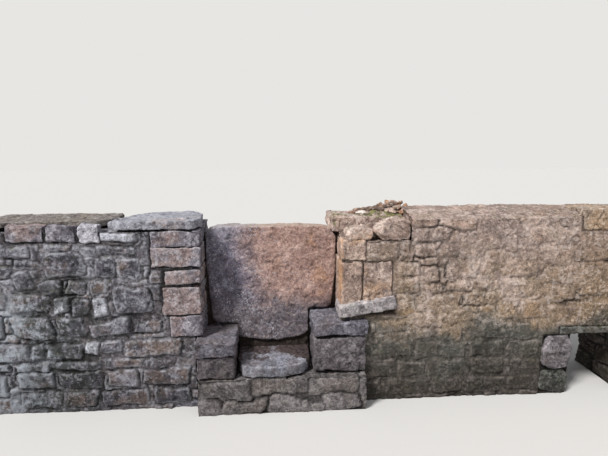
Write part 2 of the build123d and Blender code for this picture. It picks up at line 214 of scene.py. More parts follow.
def rubble(u0, u1, v0, v1, seed, course=(0.10, 0.19), **kw):
    """Rough courses of rubble over a rectangle."""
    rng = random.Random(seed)
    made = []
    v = v0
    while v < v1:
        step = rng.uniform(*course)
        made += stone_row(u0, u1, v, v + step, rng, **kw)
        v += step
    return made


def filled_layout(u0, u1, v0, v1, seed, by_hand=(), **kw):
    """Listed stones, and the rubble round them."""
    return list(by_hand), rubble(u0, u1, v0, v1, seed, **kw)


def hand(x0, x1, z0, z1, turn, proud, tone):
    """A listed stone, from its corners."""
    return ((x0 + x1) / 2, (z0 + z1) / 2, (x1 - x0) / 2, (z1 - z0) / 2, turn, proud, tone)


def main_stones(x0, way, sizes):
    """The main stones of a mass: start and length along it, bed, height, turn in degrees, proud, tone."""
    made = []
    for start, length, bed, height, turn, proud, tone in sizes:
        low = x0 + start if way > 0 else x0 - start - length
        made.append(hand(low, low + length, bed, bed + height, -math.radians(turn), proud, tone))
    return made


def foot_stones(x0, way, length):
    """The stones of the two lowest courses."""
    sizes = []
    for course, (bed, height) in enumerate(FOOT_COURSES):
        start, number = FOOT_STONE_START, course
        while start + FOOT_STONE_LENGTHS[number % len(FOOT_STONE_LENGTHS)] < length:
            along = FOOT_STONE_LENGTHS[number % len(FOOT_STONE_LENGTHS)]
            kind = number % 3
            sizes.append((start, along, bed, height, 0, 0.002 * kind, 0.2 + 0.3 * kind))
            start += along + FOOT_STONE_JOINT
            number += 1
    return main_stones(x0, way, sizes)


# Reliefs
def stone_distance(wu, wv, stone, uneven):
    """Distance out from a stone's four-sided outline, less than 0 inside it, and places along its sides."""
    cu, cv, hu, hv, turn = stone[:5]
    du, dv = wu - cu, wv - cv
    a = du * math.cos(turn) + dv * math.sin(turn)
    b = -du * math.sin(turn) + dv * math.cos(turn)
    lean = math.sin(cu * 91.7 + cv * 57.3)
    taper = math.cos(cu * 43.1 - cv * 88.9)
    slanted = a + uneven * LEAN_SHARE * lean * b
    half = hv * (1 + uneven * TAPER_SHARE * taper * np.clip(a / hu, -1, 1))
    corner = min(hu, hv) * CORNER_SHARE
    qa = np.abs(slanted) - hu + corner
    qb = np.abs(b) - half + corner
    out = np.hypot(np.maximum(qa, 0), np.maximum(qb, 0)) + np.minimum(np.maximum(qa, qb), 0) - corner
    return out, a, b


def near_stone(wu, wv, stone):
    """Which points lie near a stone."""
    reach = math.hypot(stone[2], stone[3]) + STONE_REACH
    return np.nonzero((np.abs(wu - stone[0]) < reach) & (np.abs(wv - stone[1]) < reach))[0]


def lay_rubble(wu, wv, filler, buried):
    """For each point: depth inside its stone, and the stone's tone, top and share sunk in mortar."""
    count = len(wu)
    first, second = np.full(count, 1.0), np.full(count, 1.0)
    tone, top, sunk = np.full(count, 0.5), np.zeros(count), np.zeros(count)
    for number, s in enumerate(filler):
        near = near_stone(wu, wv, s)
        if not len(near):
            continue
        d, a, b = stone_distance(wu[near], wv[near], s, 1.0)
        better = d < first[near]
        chosen = near[better]
        second[near] = np.where(better, first[near], np.minimum(second[near], d))
        first[chosen] = d[better]
        tone[chosen] = s[6]
        chance = (s[6] * TONE_SPREAD) % 1.0
        sunk[chosen] = min(1.0, max(0.0, (buried + 0.25 - chance) / 0.5))
        lean_u, lean_v = math.sin(number * 12.9) * 0.06, math.cos(number * 7.7) * 0.08
        top[chosen] = s[5] + lean_u * a[better] + lean_v * b[better]
    inner = np.minimum(-first, (second - first) / 2 - STONE_GAP)
    return inner, tone, top, sunk


def lay_main(p, wu, wv, by_hand, smear, seed, laid):
    """Lays the listed stones over the rubble. smear is the share of them under mortar."""
    inner, tone, top, sunk = laid
    for number, s in enumerate(by_hand):
        near = near_stone(wu, wv, s)
        if not len(near):
            continue
        d, a, _ = stone_distance(wu[near], wv[near], s, 0.6)
        inner[near] = np.where(d < 0, -d, np.minimum(inner[near], d - 2 * STONE_GAP))
        chosen = near[d < 0]
        tone[chosen] = s[6]
        sunk[chosen] = np.clip(smear + smear * 1.4 * fractal(p[chosen], 0.16, 4, seed + 8), 0, 1)
        lean = math.sin(number * 5.3) * 0.04
        top[chosen] = s[5] + lean * a[d < 0]


def covered_depth(u, v, zones):
    """How deep each point lies inside the zones that separate stones cover, less than 0 outside."""
    covered = np.full(len(u), -1.0)
    for a0, a1, b0, b1 in zones:
        outside = np.maximum(np.maximum(a0 - u, u - a1), np.maximum(b0 - v, v - b1))
        covered = np.maximum(covered, -outside)
    return covered


def relief(p, u, v, layout, zones, seed, mortar=-0.013, rough=1.0, buried=0.15, smear=0.0, full=0.5,
           joint_depth=JOINT_DEPTH):
    """Height, joint share, tone, darkness (dark joints, and painted shade in crevices and hollows) and pale
    edge (wear and painted highlight) over a face. p holds the points, u and v their places.

    mortar is its level, buried the share of the rubble under it, smear that of the main stones, and full
    how well the joints are filled."""
    by_hand, filler = layout
    wu = u + 0.024 * fractal(p, 0.12, 3, seed + 11) + 0.008 * fractal(p, 0.035, 3, seed + 13)
    wv = v + 0.022 * fractal(p, 0.12, 3, seed + 12) + 0.008 * fractal(p, 0.035, 3, seed + 14)
    inner, tone, top, sunk = lay_rubble(wu, wv, filler, buried)
    sunk = np.clip(sunk + 0.5 * fractal(p, 0.30, 3, seed + 6) * min(1.0, buried * 3), 0, 1)
    lay_main(p, wu, wv, by_hand, smear, seed, (inner, tone, top, sunk))
    covered = covered_depth(u, v, zones)
    inner = np.minimum(inner, -covered - ZONE_JOINT)
    zone_share = fade(-2 * ZONE_JOINT, ZONE_JOINT, covered)

    coarse = fractal(p, 0.11, 4, seed + 1)
    broken = facets(p, 0.085, seed + 2)
    chips = facets(p, 0.038, seed + 3)
    grit = fractal(p, 0.020, 2, seed + 4, 0.7)
    rough = rough * (0.55 + 0.75 * fade(-0.35, 0.35, fractal(p, 0.40, 2, seed + 23)))
    texture = 0.0035 * coarse + 0.0060 * broken + 0.0030 * chips + 0.0020 * grit
    crown = 0.004 * fade(0.0, 0.020, inner)
    face = top + crown + texture * rough
    bare = fade(full - 0.35, full + 0.35, 0.5 + fractal(p, 0.20, 4, seed + 21))
    crumble = 0.006 * fractal(p, 0.10, 4, seed + 5, 0.6) + 0.0035 * chips + 0.0025 * grit
    bed = mortar * (0.45 + 0.75 * bare) + crumble * rough

    clear = 1 - 0.85 * sunk
    shown = fade(-0.001, JOINT_SOFT, inner) * clear
    crevice = np.exp(-(((inner - 0.001) / 0.0065) ** 2)) * clear * (0.25 + 0.75 * bare)
    height = bed * (1 - shown) + face * shown - 0.007 * crevice
    deep = -joint_depth + 0.004 * fractal(p, 0.04, 2, seed + 5) - BEHIND_STONES * fade(0.010, 0.022, covered)
    height = height * (1 - zone_share) + deep * zone_share
    # Painted shade in the hollows of the face.
    hollow_shade = fade(0.0, 0.9, -coarse) * 0.30 + fade(0.1, 0.9, -grit) * 0.35 + fade(0.2, 0.7, -chips) * 0.35
    # Darkness: dark joints, and painted shade in crevices, deep joints and hollows.
    dark = np.clip(np.maximum(crevice, zone_share) + hollow_shade * 0.8 + (1 - shown) * bare * 0.25, 0, 1)
    # Pale edge: wear on the stones' arrises, partly a painted highlight where they catch the light.
    edge = fade(0.0, 0.006, inner) * fade(0.024, 0.008, inner) * (1 - sunk)
    return height, np.maximum(1 - shown, zone_share), tone, dark, edge


def side_relief(plane, stones, seed, zones=(), set_back=0.0, **kw):
    """A relief function for a face in the named plane, set back so that nothing stands too proud of it."""
    first, second = ("xyz".index(letter) for letter in plane)

    def shape_of(p):
        height, *rest = relief(p, p[:, first], p[:, second], stones, zones, seed, **kw)
        return (height - set_back, *rest)

    return shape_of


def xz_rect(node, grow=0.001):
    """The rectangle that a node covers on the wall's faces."""
    lo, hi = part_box(node)
    return (lo[0] - grow, hi[0] + grow, lo[2] - grow, hi[2] + grow)


def yz_rect(node, grow=0.004):
    """The rectangle that a node covers on a wall end."""
    lo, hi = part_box(node)
    return (lo[1] - grow, hi[1] + grow, lo[2] - grow, hi[2] + grow)


# Mesh making
def finish_mesh(name, mesh, material, replaces, slot, smooth=True):
    """The piece as an object that rides on the one body, held inside the solids' box."""
    set_coords(mesh, keep_within(coords(mesh), *cad_box))
    obj = bpy.data.objects.new(name, mesh)
    bpy.context.scene.collection.objects.link(obj)
    mesh.materials.clear()
    mesh.materials.append(material)
    mesh.polygons.foreach_set("use_smooth", [smooth] * len(mesh.polygons))
    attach(obj, "root")
    if replaces:
        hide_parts(*replaces)


def coords(mesh, vertex_field="co"):
    """The mesh's points, or its vertex normals, as an array."""
    values = np.empty(len(mesh.vertices) * 3)
    mesh.vertices.foreach_get(vertex_field, values)
    return values.reshape(-1, 3)


def set_coords(mesh, co):
    """Moves the mesh's points."""
    mesh.vertices.foreach_set("co", co.reshape(-1))
    mesh.update()


def set_field(mesh, name, values):
    """A number for each point, or one for all, that a material can read."""
    field = mesh.attributes.new(name, "FLOAT", "POINT")
    field.data.foreach_set("value", np.broadcast_to(values, len(mesh.vertices)).astype(np.float32))


def keep_within(co, lo, hi):
    """Points held inside a box."""
    return np.minimum(np.maximum(co, np.array(lo)), np.array(hi))


def remeshed(mesh, voxel, smooth):
    """The mesh as one even skin with its arrises worn round."""
    scratch = bpy.data.objects.new("scratch", mesh)
    bpy.context.scene.collection.objects.link(scratch)
    skin = scratch.modifiers.new("skin", "REMESH")
    skin.mode = "VOXEL"
    skin.voxel_size = voxel
    worn = scratch.modifiers.new("worn", "SMOOTH")
    worn.factor = 0.5
    worn.iterations = smooth
    deps = bpy.context.evaluated_depsgraph_get()
    made = bpy.data.meshes.new_from_object(scratch.evaluated_get(deps))
    bpy.data.objects.remove(scratch)
    return made


def mesh_from(bm, name):
    """The mesh that a bmesh holds."""
    mesh = bpy.data.meshes.new(name)
    bm.to_mesh(mesh)
    bm.free()
    return mesh


def prism(first, last):
    """A closed solid between two outlines with as many points each."""
    bm = bmesh.new()
    a = [bm.verts.new(p) for p in first]
    b = [bm.verts.new(p) for p in last]
    bm.faces.new(a)
    bm.faces.new(list(reversed(b)))
    for i in range(len(a)):
        j = (i + 1) % len(a)
        bm.faces.new((a[j], a[i], b[i], b[j]))
    bmesh.ops.recalc_face_normals(bm, faces=bm.faces)
    return mesh_from(bm, "prism")


def prism_xz(outline, y0, y1):
    """A solid with the given outline seen from the near side."""
    return prism([(x, y0, z) for x, z in outline], [(x, y1, z) for x, z in outline])


def prism_xy(outline, z0, z1):
    """A solid with the given outline seen from above."""
    return prism([(x, y, z0) for x, y in outline], [(x, y, z1) for x, y in outline])


def rectangle(a0, a1, b0, b1):
    """The corners of a rectangle, in order round it."""
    return [(a0, b0), (a1, b0), (a1, b1), (a0, b1)]


def chipped(mesh, seed, cuts, depth):
    """A plain solid with flat chips struck off its arrises and corners."""
    rng = random.Random(seed)
    bm = bmesh.new()
    bm.from_mesh(mesh)
    for _ in range(cuts):
        way = [rng.choice((-1, 1)) * rng.uniform(0.35, 1) for _ in range(3)]
        along_an_arris = rng.random() < 0.65
        if along_an_arris:
            way[rng.randrange(3)] *= 0.12
        way = np.array(way) / np.linalg.norm(way)
        reach = max(float(np.dot(v.co[:], way)) for v in bm.verts)
        plane = way * (reach - depth * rng.uniform(0.35, 1.0))
        everything = bm.verts[:] + bm.edges[:] + bm.faces[:]
        cut = bmesh.ops.bisect_plane(bm, geom=everything, plane_co=plane, plane_no=way, clear_outer=True)
        edges = [e for e in cut["geom_cut"] if isinstance(e, bmesh.types.BMEdge)]
        if edges:
            bmesh.ops.edgeloop_fill(bm, edges=edges)
    bmesh.ops.recalc_face_normals(bm, faces=bm.faces)
    bm.to_mesh(mesh)
    bm.free()
    return mesh


def weather(mesh, seed, lumps=0.006, grit=0.003, chips=0.006):
    """Broken faces, lumps, grit and worn arrises on a remeshed stone, with pale arrises (wear and painted
    highlight) and painted shade in its hollows.
    """
    co = coords(mesh)
    no = coords(mesh, "normal")
    edge = 1 - np.max(np.abs(no), axis=1)
    coarse = fractal(co, 0.15, 3, seed)
    broken = facets(co, 0.080, seed + 5)
    small = facets(co, 0.034, seed + 6)
    fine = fractal(co, 0.022, 3, seed + 7, 0.7)
    move = lumps * (0.5 * coarse + broken - 0.35) + grit * (0.8 * small + 0.7 * fine - 0.2)
    bite = fade(0.05, 0.6, fractal(co, 0.055, 3, seed + 9)) * fade(0.03, 0.25, edge)
    co = co + no * (move - chips * bite)[:, None]
    set_coords(mesh, co)
    # Pale arrises: wear, and a painted highlight where the edges catch the light.
    set_field(mesh, "worn", np.clip(edge * 2.4 - bite, 0, 1))
    # Painted shade in the hollows of the stone's face.
    hollow_shade = fade(0.0, 0.9, -coarse) * 0.25 + fade(0.0, 0.8, -fine) * 0.45 + fade(0.2, 0.8, -small) * 0.4
    set_field(mesh, "dark", np.clip(hollow_shade, 0, 1))


def stone(name, mesh, seed, material, slot, replaces=(), voxel=STONE_VOXEL, smooth=2, tone=0.5, joint=0.0,
          cuts=14, depth=0.009, **kw):
    """A stone of its own, from its plain solid."""
    body = remeshed(chipped(mesh, seed, cuts, depth) if cuts else mesh, voxel, smooth)
    weather(body, seed, **kw)
    set_field(body, "tone", tone)
    set_field(body, "joint", joint)
    finish_mesh(name, body, material, replaces, slot)


# Masonry masses: cells of a lattice, with a relief on every face that shows
def ticks(breaks, step):
    """Grid lines through every break, spaced no wider than step. Also which lines are the breaks."""
    lines = [breaks[0]]
    marks = [0]
    for a, b in zip(breaks, breaks[1:]):
        count = max(1, math.ceil((b - a) / step))
        lines += [a + (b - a) * (i + 1) / count for i in range(count)]
        marks.append(len(lines) - 1)
    return np.array(lines), marks


def open_sides(shape, filled):
    """Every filled cell's sides that no filled cell lies behind: (cell, axis, sign)."""
    for cell in np.ndindex(*shape):
        if not filled(cell):
            continue
        for axis in range(3):
            for sign in (-1, 1):
                beside = list(cell)
                beside[axis] += sign
                if not (0 <= beside[axis] < shape[axis] and filled(tuple(beside))):
                    yield cell, axis, sign


def lattice_skin(breaks, steps, filled):
    """Points and four-sided faces round the filled cells, and the sides that each point lies on."""
    lines, marks = zip(*(ticks(b, s) for b, s in zip(breaks, steps)))
    known = {}
    points = []
    quads = []
    sides = []
    for cell, axis, sign in open_sides([len(b) - 1 for b in breaks], filled):
        across, up = [a for a in range(3) if a != axis]
        fixed = marks[axis][cell[axis] + (1 if sign > 0 else 0)]
        columns = range(marks[across][cell[across]], marks[across][cell[across] + 1] + 1)
        rows = range(marks[up][cell[up]], marks[up][cell[up] + 1] + 1)
        grid = {}
        for i in columns:
            for j in rows:
                key = [0, 0, 0]
                key[axis], key[across], key[up] = fixed, i, j
                key = tuple(key)
                if key not in known:
                    known[key] = len(points)
                    points.append([lines[a][key[a]] for a in range(3)])
                    sides.append(set())
                sides[known[key]].add((axis, sign))
                grid[i, j] = known[key]
        flip = (sign > 0) == (axis != 1)
        for i in columns[:-1]:
            for j in rows[:-1]:
                quad = [grid[i, j], grid[i + 1, j], grid[i + 1, j + 1], grid[i, j + 1]]
                quads.append(quad if flip else quad[::-1])
    return np.array(points), quads, sides


def masonry(name, breaks, steps, faces, material, replaces, slot, filled=lambda cell: True):
    """A mass of masonry. faces maps a direction, (axis, sign), to its relief function."""
    co, quads, sides = lattice_skin(breaks, steps, filled)
    moved = co.copy()
    fields = {"joint": np.zeros(len(co)), "tone": np.full(len(co), 0.5), "dark": np.zeros(len(co)),
              "worn": np.zeros(len(co))}
    for direction, shape_of in faces.items():
        index = np.nonzero([direction in s for s in sides])[0]
        if not len(index):
            continue
        height, joint, tone, dark, worn = shape_of(co[index])
        moved[index, direction[0]] += height * direction[1]
        fields["tone"][index] = tone
        for field, values in (("joint", joint), ("dark", dark), ("worn", worn)):
            fields[field][index] = np.maximum(fields[field][index], values)
    foot = breaks[2][0]
    moved[:, 2] = np.where(co[:, 2] <= foot + 1e-6, foot, moved[:, 2])
    mesh = bpy.data.meshes.new(name)
    mesh.from_pydata(moved.tolist(), [], quads)
    mesh.update()
    for field, values in fields.items():
        set_field(mesh, field, values)
    finish_mesh(name, mesh, material, replaces, slot)


# Materials
# How far the crystals' outlines wander, as a share of their size, and where limewash and soot fade out on
# the left wall, in metres
CRYSTAL_WANDER = 1.4
LIME_OUTER = (-1.75, -1.35)
LIME_TOP = (0.70, 0.98)
SOOT_MIDDLE = -1.50
SOOT_TOP = (0.85, 1.18)


def linear(r, g, b):
    """A colour as it looks on a screen, from 0 to 255, as the shader counts it."""
    return tuple(c / 255 / 12.92 if c <= 10 else ((c / 255 + 0.055) / 1.055) ** 2.4 for c in (r, g, b))


def scaled(colour, factor):
    """A colour made darker or lighter."""
    return tuple(min(1, c * factor) for c in colour)


class Nodes:
    """A node tree with short ways to add to it."""

    def __init__(self, owner):
        owner.use_nodes = True
        self.tree = owner.node_tree
        self.nodes = self.tree.nodes

    def put(self, socket, value):
        """Gives an input a number, a vector, a colour or another node's output."""
        if isinstance(value, (int, float)):
            socket.default_value = value
        elif isinstance(value, tuple):
            socket.default_value = value if socket.type == "VECTOR" else (*value, 1)
        else:
            self.tree.links.new(value, socket)

    def node(self, kind, inputs, output=0, **settings):
        """Adds a node with these inputs and settings, and gives one of its outputs."""
        made = self.nodes.new("ShaderNode" + kind)
        for name, value in settings.items():
            setattr(made, name, value)
        for name, value in inputs.items():
            self.put(made.inputs[name], value)
        return made.outputs[output]

    def math(self, kind, *values, clamp=False):
        """A sum of one or two values."""
        return self.node("Math", dict(enumerate(values)), operation=kind, use_clamp=clamp)


class Shader(Nodes):
    """A material's nodes, with ways to add patterns, sums of values and mixtures of colours."""

    def __init__(self, name):
        self.material = bpy.data.materials.new(name)
        super().__init__(self.material)
        self.bsdf = self.nodes["Principled BSDF"]
        self.place = self.node("TexCoord", {}, "Object")

    def noise(self, scale, detail, rough, shift=0.0, stretch=(1.0, 1.0, 1.0)):
        """Cloudy noise from 0 to 1, mostly near 0.5. scale is its cells in a metre."""
        moved = (shift, shift * 0.7, shift * 1.3)
        place = self.node("Mapping", {"Vector": self.place, "Location": moved, "Scale": stretch})
        inputs = {"Vector": place, "Scale": scale, "Detail": detail, "Roughness": rough}
        return self.node("TexNoise", inputs, "Fac")

    def crystals(self, scale):
        """A chance number for each grain of the stone, grains of uneven size."""
        wander = self.node("TexNoise", {"Vector": self.place, "Scale": scale * 0.35, "Detail": 3.0}, "Color")
        reach = (CRYSTAL_WANDER / scale,) * 3
        moved = self.node("VectorMath", {0: wander, 1: reach, 2: self.place}, operation="MULTIPLY_ADD")
        grains = self.node("TexVoronoi", {"Vector": moved, "Scale": scale}, "Color")
        return self.node("SeparateColor", {0: grains})

    def field(self, name):
        """A number that the mesh holds for each point."""
        return self.node("Attribute", {}, "Fac", attribute_name=name)

    def times(self, a, b):
        return self.math("MULTIPLY", a, b)

    def plus(self, a, b, **kw):
        return self.math("ADD", a, b, **kw)

    def less(self, a, b):
        return self.math("SUBTRACT", a, b)

    def rest(self, share):
        """What a share leaves of 1."""
        return self.less(1.0, share)

    def swing(self, value, reach):
        """A value round 0.5 as one round 0."""
        return self.times(self.less(value, 0.5), reach)

    def step(self, value, low, high):
        """0 below low, 1 above high."""
        inputs = {"Value": value, "From Min": low, "From Max": high}
        return self.node("MapRange", inputs, "Result", interpolation_type="SMOOTHSTEP")

    def mix(self, share, a, b, kind="MIX"):
        """From colour a to colour b by a share."""
        inputs = {"Factor": share, "A": a, "B": b}
        return self.node("Mix", inputs, "Result", data_type="RGBA", blend_type=kind)

    def blend(self, share, strength, a, b):
        """From colour a to colour b by a share of some strength."""
        return self.mix(self.times(share, strength), a, b)

    def darken(self, share, colour, factors):
        """The colour, multiplied by the factors where the share is 1."""
        return self.mix(share, colour, self.mix(1.0, colour, factors, "MULTIPLY"))

    def colours(self, value, *stops):
        """A colour ramp from (place, colour) stops."""
        node = self.nodes.new("ShaderNodeValToRGB")
        elements = node.color_ramp.elements
        elements.remove(elements[-1])
        elements[0].position, elements[0].color = stops[0][0], (*stops[0][1], 1)
        for place, colour in stops[1:]:
            elements.new(place).color = (*colour, 1)
        self.put(node.inputs["Fac"], value)
        return node.outputs["Color"]

    def tints(self, value, *stops):
        """A colour ramp from colours as they look on a screen."""
        return self.colours(value, *((place, linear(*colour)) for place, colour in stops))

    def greys(self, value, *stops):
        """A ramp of greys that lighten or darken, 1 leaving a colour as it is."""
        return self.colours(value, *((place, (level,) * 3) for place, level in stops))

    def axis(self, name):
        """One coordinate of the surface, in metres."""
        return self.node("SeparateXYZ", {0: self.place}, name)

    def upward(self):
        """How far the surface faces up, from -1 to 1."""
        return self.node("SeparateXYZ", {0: self.node("NewGeometry", {}, "True Normal")}, "Z")

    def finish(self, colour, roughness, heights):
        """Joins the colour and a stack of (height, strength, distance) bumps to the shader."""
        bumped = {}
        for height, strength, distance in heights:
            inputs = {"Height": height, "Strength": strength, "Distance": distance, **bumped}
            bumped = {"Normal": self.node("Bump", inputs)}
        for name, value in (("Base Color", colour), ("Roughness", roughness), ("Specular IOR Level", 0.25),
                            ("Normal", bumped["Normal"])):
            self.put(self.bsdf.inputs[name], value)
        return self.material


def mottled(s, dark, mid, light, second, pale):
    """The stone's own colours, with patches of a second one. A tone near 1 bleaches the stone."""
    tone = s.field("tone")
    swell = s.swing(s.mottle, 0.55)
    patches = s.plus(s.noise(6.5, 10, 0.70), s.swing(tone, 0.24))
    colour = s.colours(s.plus(patches, swell), (0.30, dark), (0.50, mid), (0.70, light))
    own = s.step(s.math("FRACT", s.times(tone, TONE_SPREAD)), 0.58, 0.66)
    warm = s.step(s.plus(s.noise(4.1, 5, 0.6, 11.0), s.times(own, 0.14)), 0.54, 0.70)
    colour = s.blend(warm, 0.8, colour, s.mix(swell, second, colour))
    bleached = s.times(s.step(tone, 0.955, 0.985), s.step(s.mottle, 0.32, 0.46))
    return s.blend(bleached, 0.85, colour, scaled(pale, 1.5))


def mortared(s, colour, mortar):
    """Crumbly mortar in the joints."""
    stops = (0.36, scaled(mortar, 0.40)), (0.5, mortar), (0.64, scaled(mortar, 1.55))
    return s.mix(s.field("joint"), colour, s.colours(s.noise(38, 9, 0.78, 5.0), *stops))


def banded(s, colour, bands, light_patch):
    """Colours that change up the wall, with pale and shaded patches. Also the share above the damp."""
    swirl = s.swing(s.noise(1.9, 8, 0.65, 43.0), 0.9)
    rise = s.plus(s.math("DIVIDE", s.axis("Z"), 1.5), swirl)
    above = s.step(s.plus(s.axis("Z"), swirl), 0.45, 0.75)
    colour = s.mix(s.less(0.86, s.times(above, 0.32)), colour, s.tints(rise, *bands))
    bleached = s.times(s.step(s.noise(3.4, 9, 0.68, 91.0), 0.51, 0.60), above)
    colour = s.blend(bleached, 0.55, colour, linear(*light_patch))
    shaded = s.step(s.noise(2.8, 9, 0.68, 97.0), 0.53, 0.62)
    colour = s.darken(s.times(shaded, 0.5), colour, (0.42, 0.41, 0.42))
    # Painted shade: darker and browner towards the far right end.
    outer = s.step(s.plus(s.axis("X"), swirl), 1.7, 2.6)
    return s.darken(outer, colour, (0.72, 0.68, 0.60)), above


def crystalline(s, colour, coarse, fine):
    """Light and dark crystals of two sizes, each between two levels."""
    for cause, (low, high) in ((s.grain, coarse), (s.fine, fine)):
        colour = s.mix(1.0, colour, s.greys(cause, (0.0, low), (1.0, high)), "MULTIPLY")
    return colour


def grained(s, colour, blotchy):
    """Blotches and crystals."""
    shade = s.greys(s.mottle, (0.34, 1 - 0.44 * blotchy), (0.5, 1.0), (0.66, 1 + 0.42 * blotchy))
    uneven = s.plus(0.40, s.times(s.step(s.noise(3.4, 5, 0.6, 71.0), 0.38, 0.62), 0.55))
    return crystalline(s, s.mix(uneven, colour, shade, "MULTIPLY"), (0.80, 1.18), (0.66, 1.34))


def limed(s, colour):
    """Limewash low on the left wall, towards its end, and soot beside it."""
    x, z = s.axis("X"), s.axis("Z")
    swirl = s.swing(s.noise(2.4, 6, 0.6, 33.0), 0.9)
    out = s.rest(s.step(s.plus(x, swirl), *LIME_OUTER))
    low = s.rest(s.step(s.plus(z, swirl), *LIME_TOP))
    coat = s.times(s.times(out, low), s.step(s.noise(14, 10, 0.78, 35.0), 0.45, 0.53))
    colour = s.blend(coat, 0.85, colour, linear(166, 173, 182))
    away = s.less(s.times(s.math("ABSOLUTE", s.plus(x, -SOOT_MIDDLE)), 2.6), 0.35)
    sooty = s.rest(s.step(s.plus(away, swirl), 0.0, 0.6))
    sooty = s.times(sooty, s.rest(s.step(z, *SOOT_TOP)))
    sooty = s.times(sooty, s.step(s.noise(13, 10, 0.78, 39.0), 0.42, 0.53))
    return s.blend(sooty, 0.8, colour, linear(46, 48, 44))


def sunned_arris(s, colour, arris):
    """The near arris of a jamb, warm where the low sun catches it."""
    side = s.rest(s.step(s.plus(s.axis("X"), s.swing(s.mottle, 0.05)), arris, arris + 0.030))
    side = s.times(side, s.rest(s.step(s.axis("Y"), NEAR_Y + 0.05, NEAR_Y + 0.22)))
    side = s.times(side, s.step(s.noise(9, 8, 0.7, 61.0), 0.36, 0.60))
    return s.blend(side, 0.7, colour, s.mix(s.grain, linear(176, 128, 88), linear(224, 176, 130)))


def soiled(s, colour):
    """Trodden soil, thickest against the slab and at the doorstep's ends."""
    inner = s.less(0.30, s.math("ABSOLUTE", s.axis("Y")))
    outer = s.less(s.math("ABSOLUTE", s.less(s.axis("X"), 0.01)), 0.18)
    trodden = s.plus(s.plus(s.noise(7, 9, 0.72, 81.0), s.times(inner, 0.9)), s.times(outer, 0.8))
    dirt = s.mix(s.grain, linear(44, 36, 38), linear(86, 74, 74))
    return s.mix(s.step(trodden, 0.545, 0.60), colour, dirt)


def mossed(s, colour, up, moss, moss_colour, moss_above):
    """Moss, a little more on tops, and thick on the pier above the height moss_above."""
    growth = s.plus(s.noise(11, 9, 0.72, 31.0), s.times(up, 0.08))
    if moss_above:
        reach = s.step(s.plus(s.axis("Z"), s.times(s.grain, 0.03)), moss_above, moss_above + 0.03)
        reach = s.times(reach, s.step(s.axis("X"), 0.66, 0.78))
        growth = s.plus(growth, s.times(reach, 0.11))
    green = linear(*moss_colour)
    cushions = s.mix(s.step(s.grain, 0.3, 0.7), scaled(green, 0.35), green)
    return s.blend(s.step(growth, 0.59, 0.66), moss, colour, cushions)


def damped(s, colour, damp, wet_top):
    """Damp towards the ground, and dark joints with painted shade in crevices and hollows."""
    wet = s.plus(s.axis("Z"), s.swing(s.noise(4, 5, 0.6, 6.0), 0.55))
    wet = s.rest(s.step(wet, 0.10, wet_top))
    colour = s.darken(s.times(wet, damp), colour, (0.48, 0.46, 0.46))
    # Painted shade in crevices and hollows, and dark joints, from the dark field.
    depth = s.times(s.math("POWER", s.field("dark"), 1.3), 0.88)
    return s.darken(depth, colour, (0.12, 0.11, 0.11))


def stone_material(
    name, dark, mid, light, second,
    mortar=(118, 110, 104), lichen=0.4, lichen_colour=(176, 178, 180), moss=0.15, moss_colour=(92, 94, 56),
    moss_above=None, stain=0.4, damp=0.5, speck=0.5, edge=0.5, painted_top_light=0.0, lime=False, bands=(),
    light_patch=(206, 184, 172), blotchy=1.0, wet_top=0.70, arris=None, soil=False,
):
    """Weathered stone: mottled colour, grain, flecks, lichen, moss, stains, dark joints and mortar, with
    painted shade in crevices and hollows and painted highlights on arrises and upward faces.
    """
    s = Shader(name)
    dark, mid, light, second, pale = (linear(*c) for c in (dark, mid, light, second, lichen_colour))
    s.mottle = s.noise(19, 10, 0.74, 3.1)
    s.grain = s.crystals(62)
    s.fine = s.crystals(150)
    colour = mortared(s, mottled(s, dark, mid, light, second, pale), linear(*mortar))
    if bands:
        colour, above = banded(s, colour, bands, light_patch)
        speck, lichen = (s.times(s.plus(0.35, s.times(above, 0.65)), share) for share in (speck, lichen))
    colour = grained(s, colour, blotchy)
    flecks = s.step(s.noise(52, 9, 0.80, 21.0), 0.56, 0.61)
    colour = s.blend(flecks, speck, colour, pale)
    pits = s.step(s.noise(44, 9, 0.80, 27.0), 0.56, 0.61)
    colour = s.blend(pits, 0.7, colour, scaled(dark, 0.25))
    # Pale arrises: wear, partly a painted highlight where the edges catch the light.
    rubbed_lit_edges = s.times(s.times(s.field("worn"), edge), s.step(s.noise(17, 9, 0.75, 19.0), 0.40, 0.58))
    colour = s.mix(rubbed_lit_edges, colour, pale)
    if lime:
        colour = limed(s, colour)
    patch = s.step(s.plus(s.noise(7.5, 10, 0.76, 15.0), s.swing(s.grain, 0.20)), 0.55, 0.60)
    colour = s.blend(patch, lichen, colour, s.mix(s.grain, scaled(pale, 0.6), pale))
    streak = s.step(s.noise(10, 8, 0.70, 9.0, (1.0, 1.0, 0.3)), 0.53, 0.64)
    colour = s.blend(streak, stain, colour, scaled(mid, 0.30))
    if arris:
        colour = sunned_arris(s, colour, arris)
    if soil:
        colour = soiled(s, colour)
    up = s.upward()
    # Painted highlight: upward faces paler, in the lichen's pale colour.
    if painted_top_light:
        colour = s.blend(s.step(up, 0.5, 0.95), painted_top_light, colour, s.mix(s.mottle, scaled(pale, 0.5), pale))
    colour = mossed(s, colour, up, moss, moss_colour, moss_above)
    colour = damped(s, colour, damp, wet_top)
    bumps = [(s.mottle, 0.7 * blotchy, 0.012), (s.rest(pits), 0.6, 0.004), (s.grain, 0.3, 0.0020),
             (s.fine, 0.3, 0.0015)]
    return s.finish(colour, s.plus(0.80, s.times(s.fine, 0.18), clamp=True), bumps)


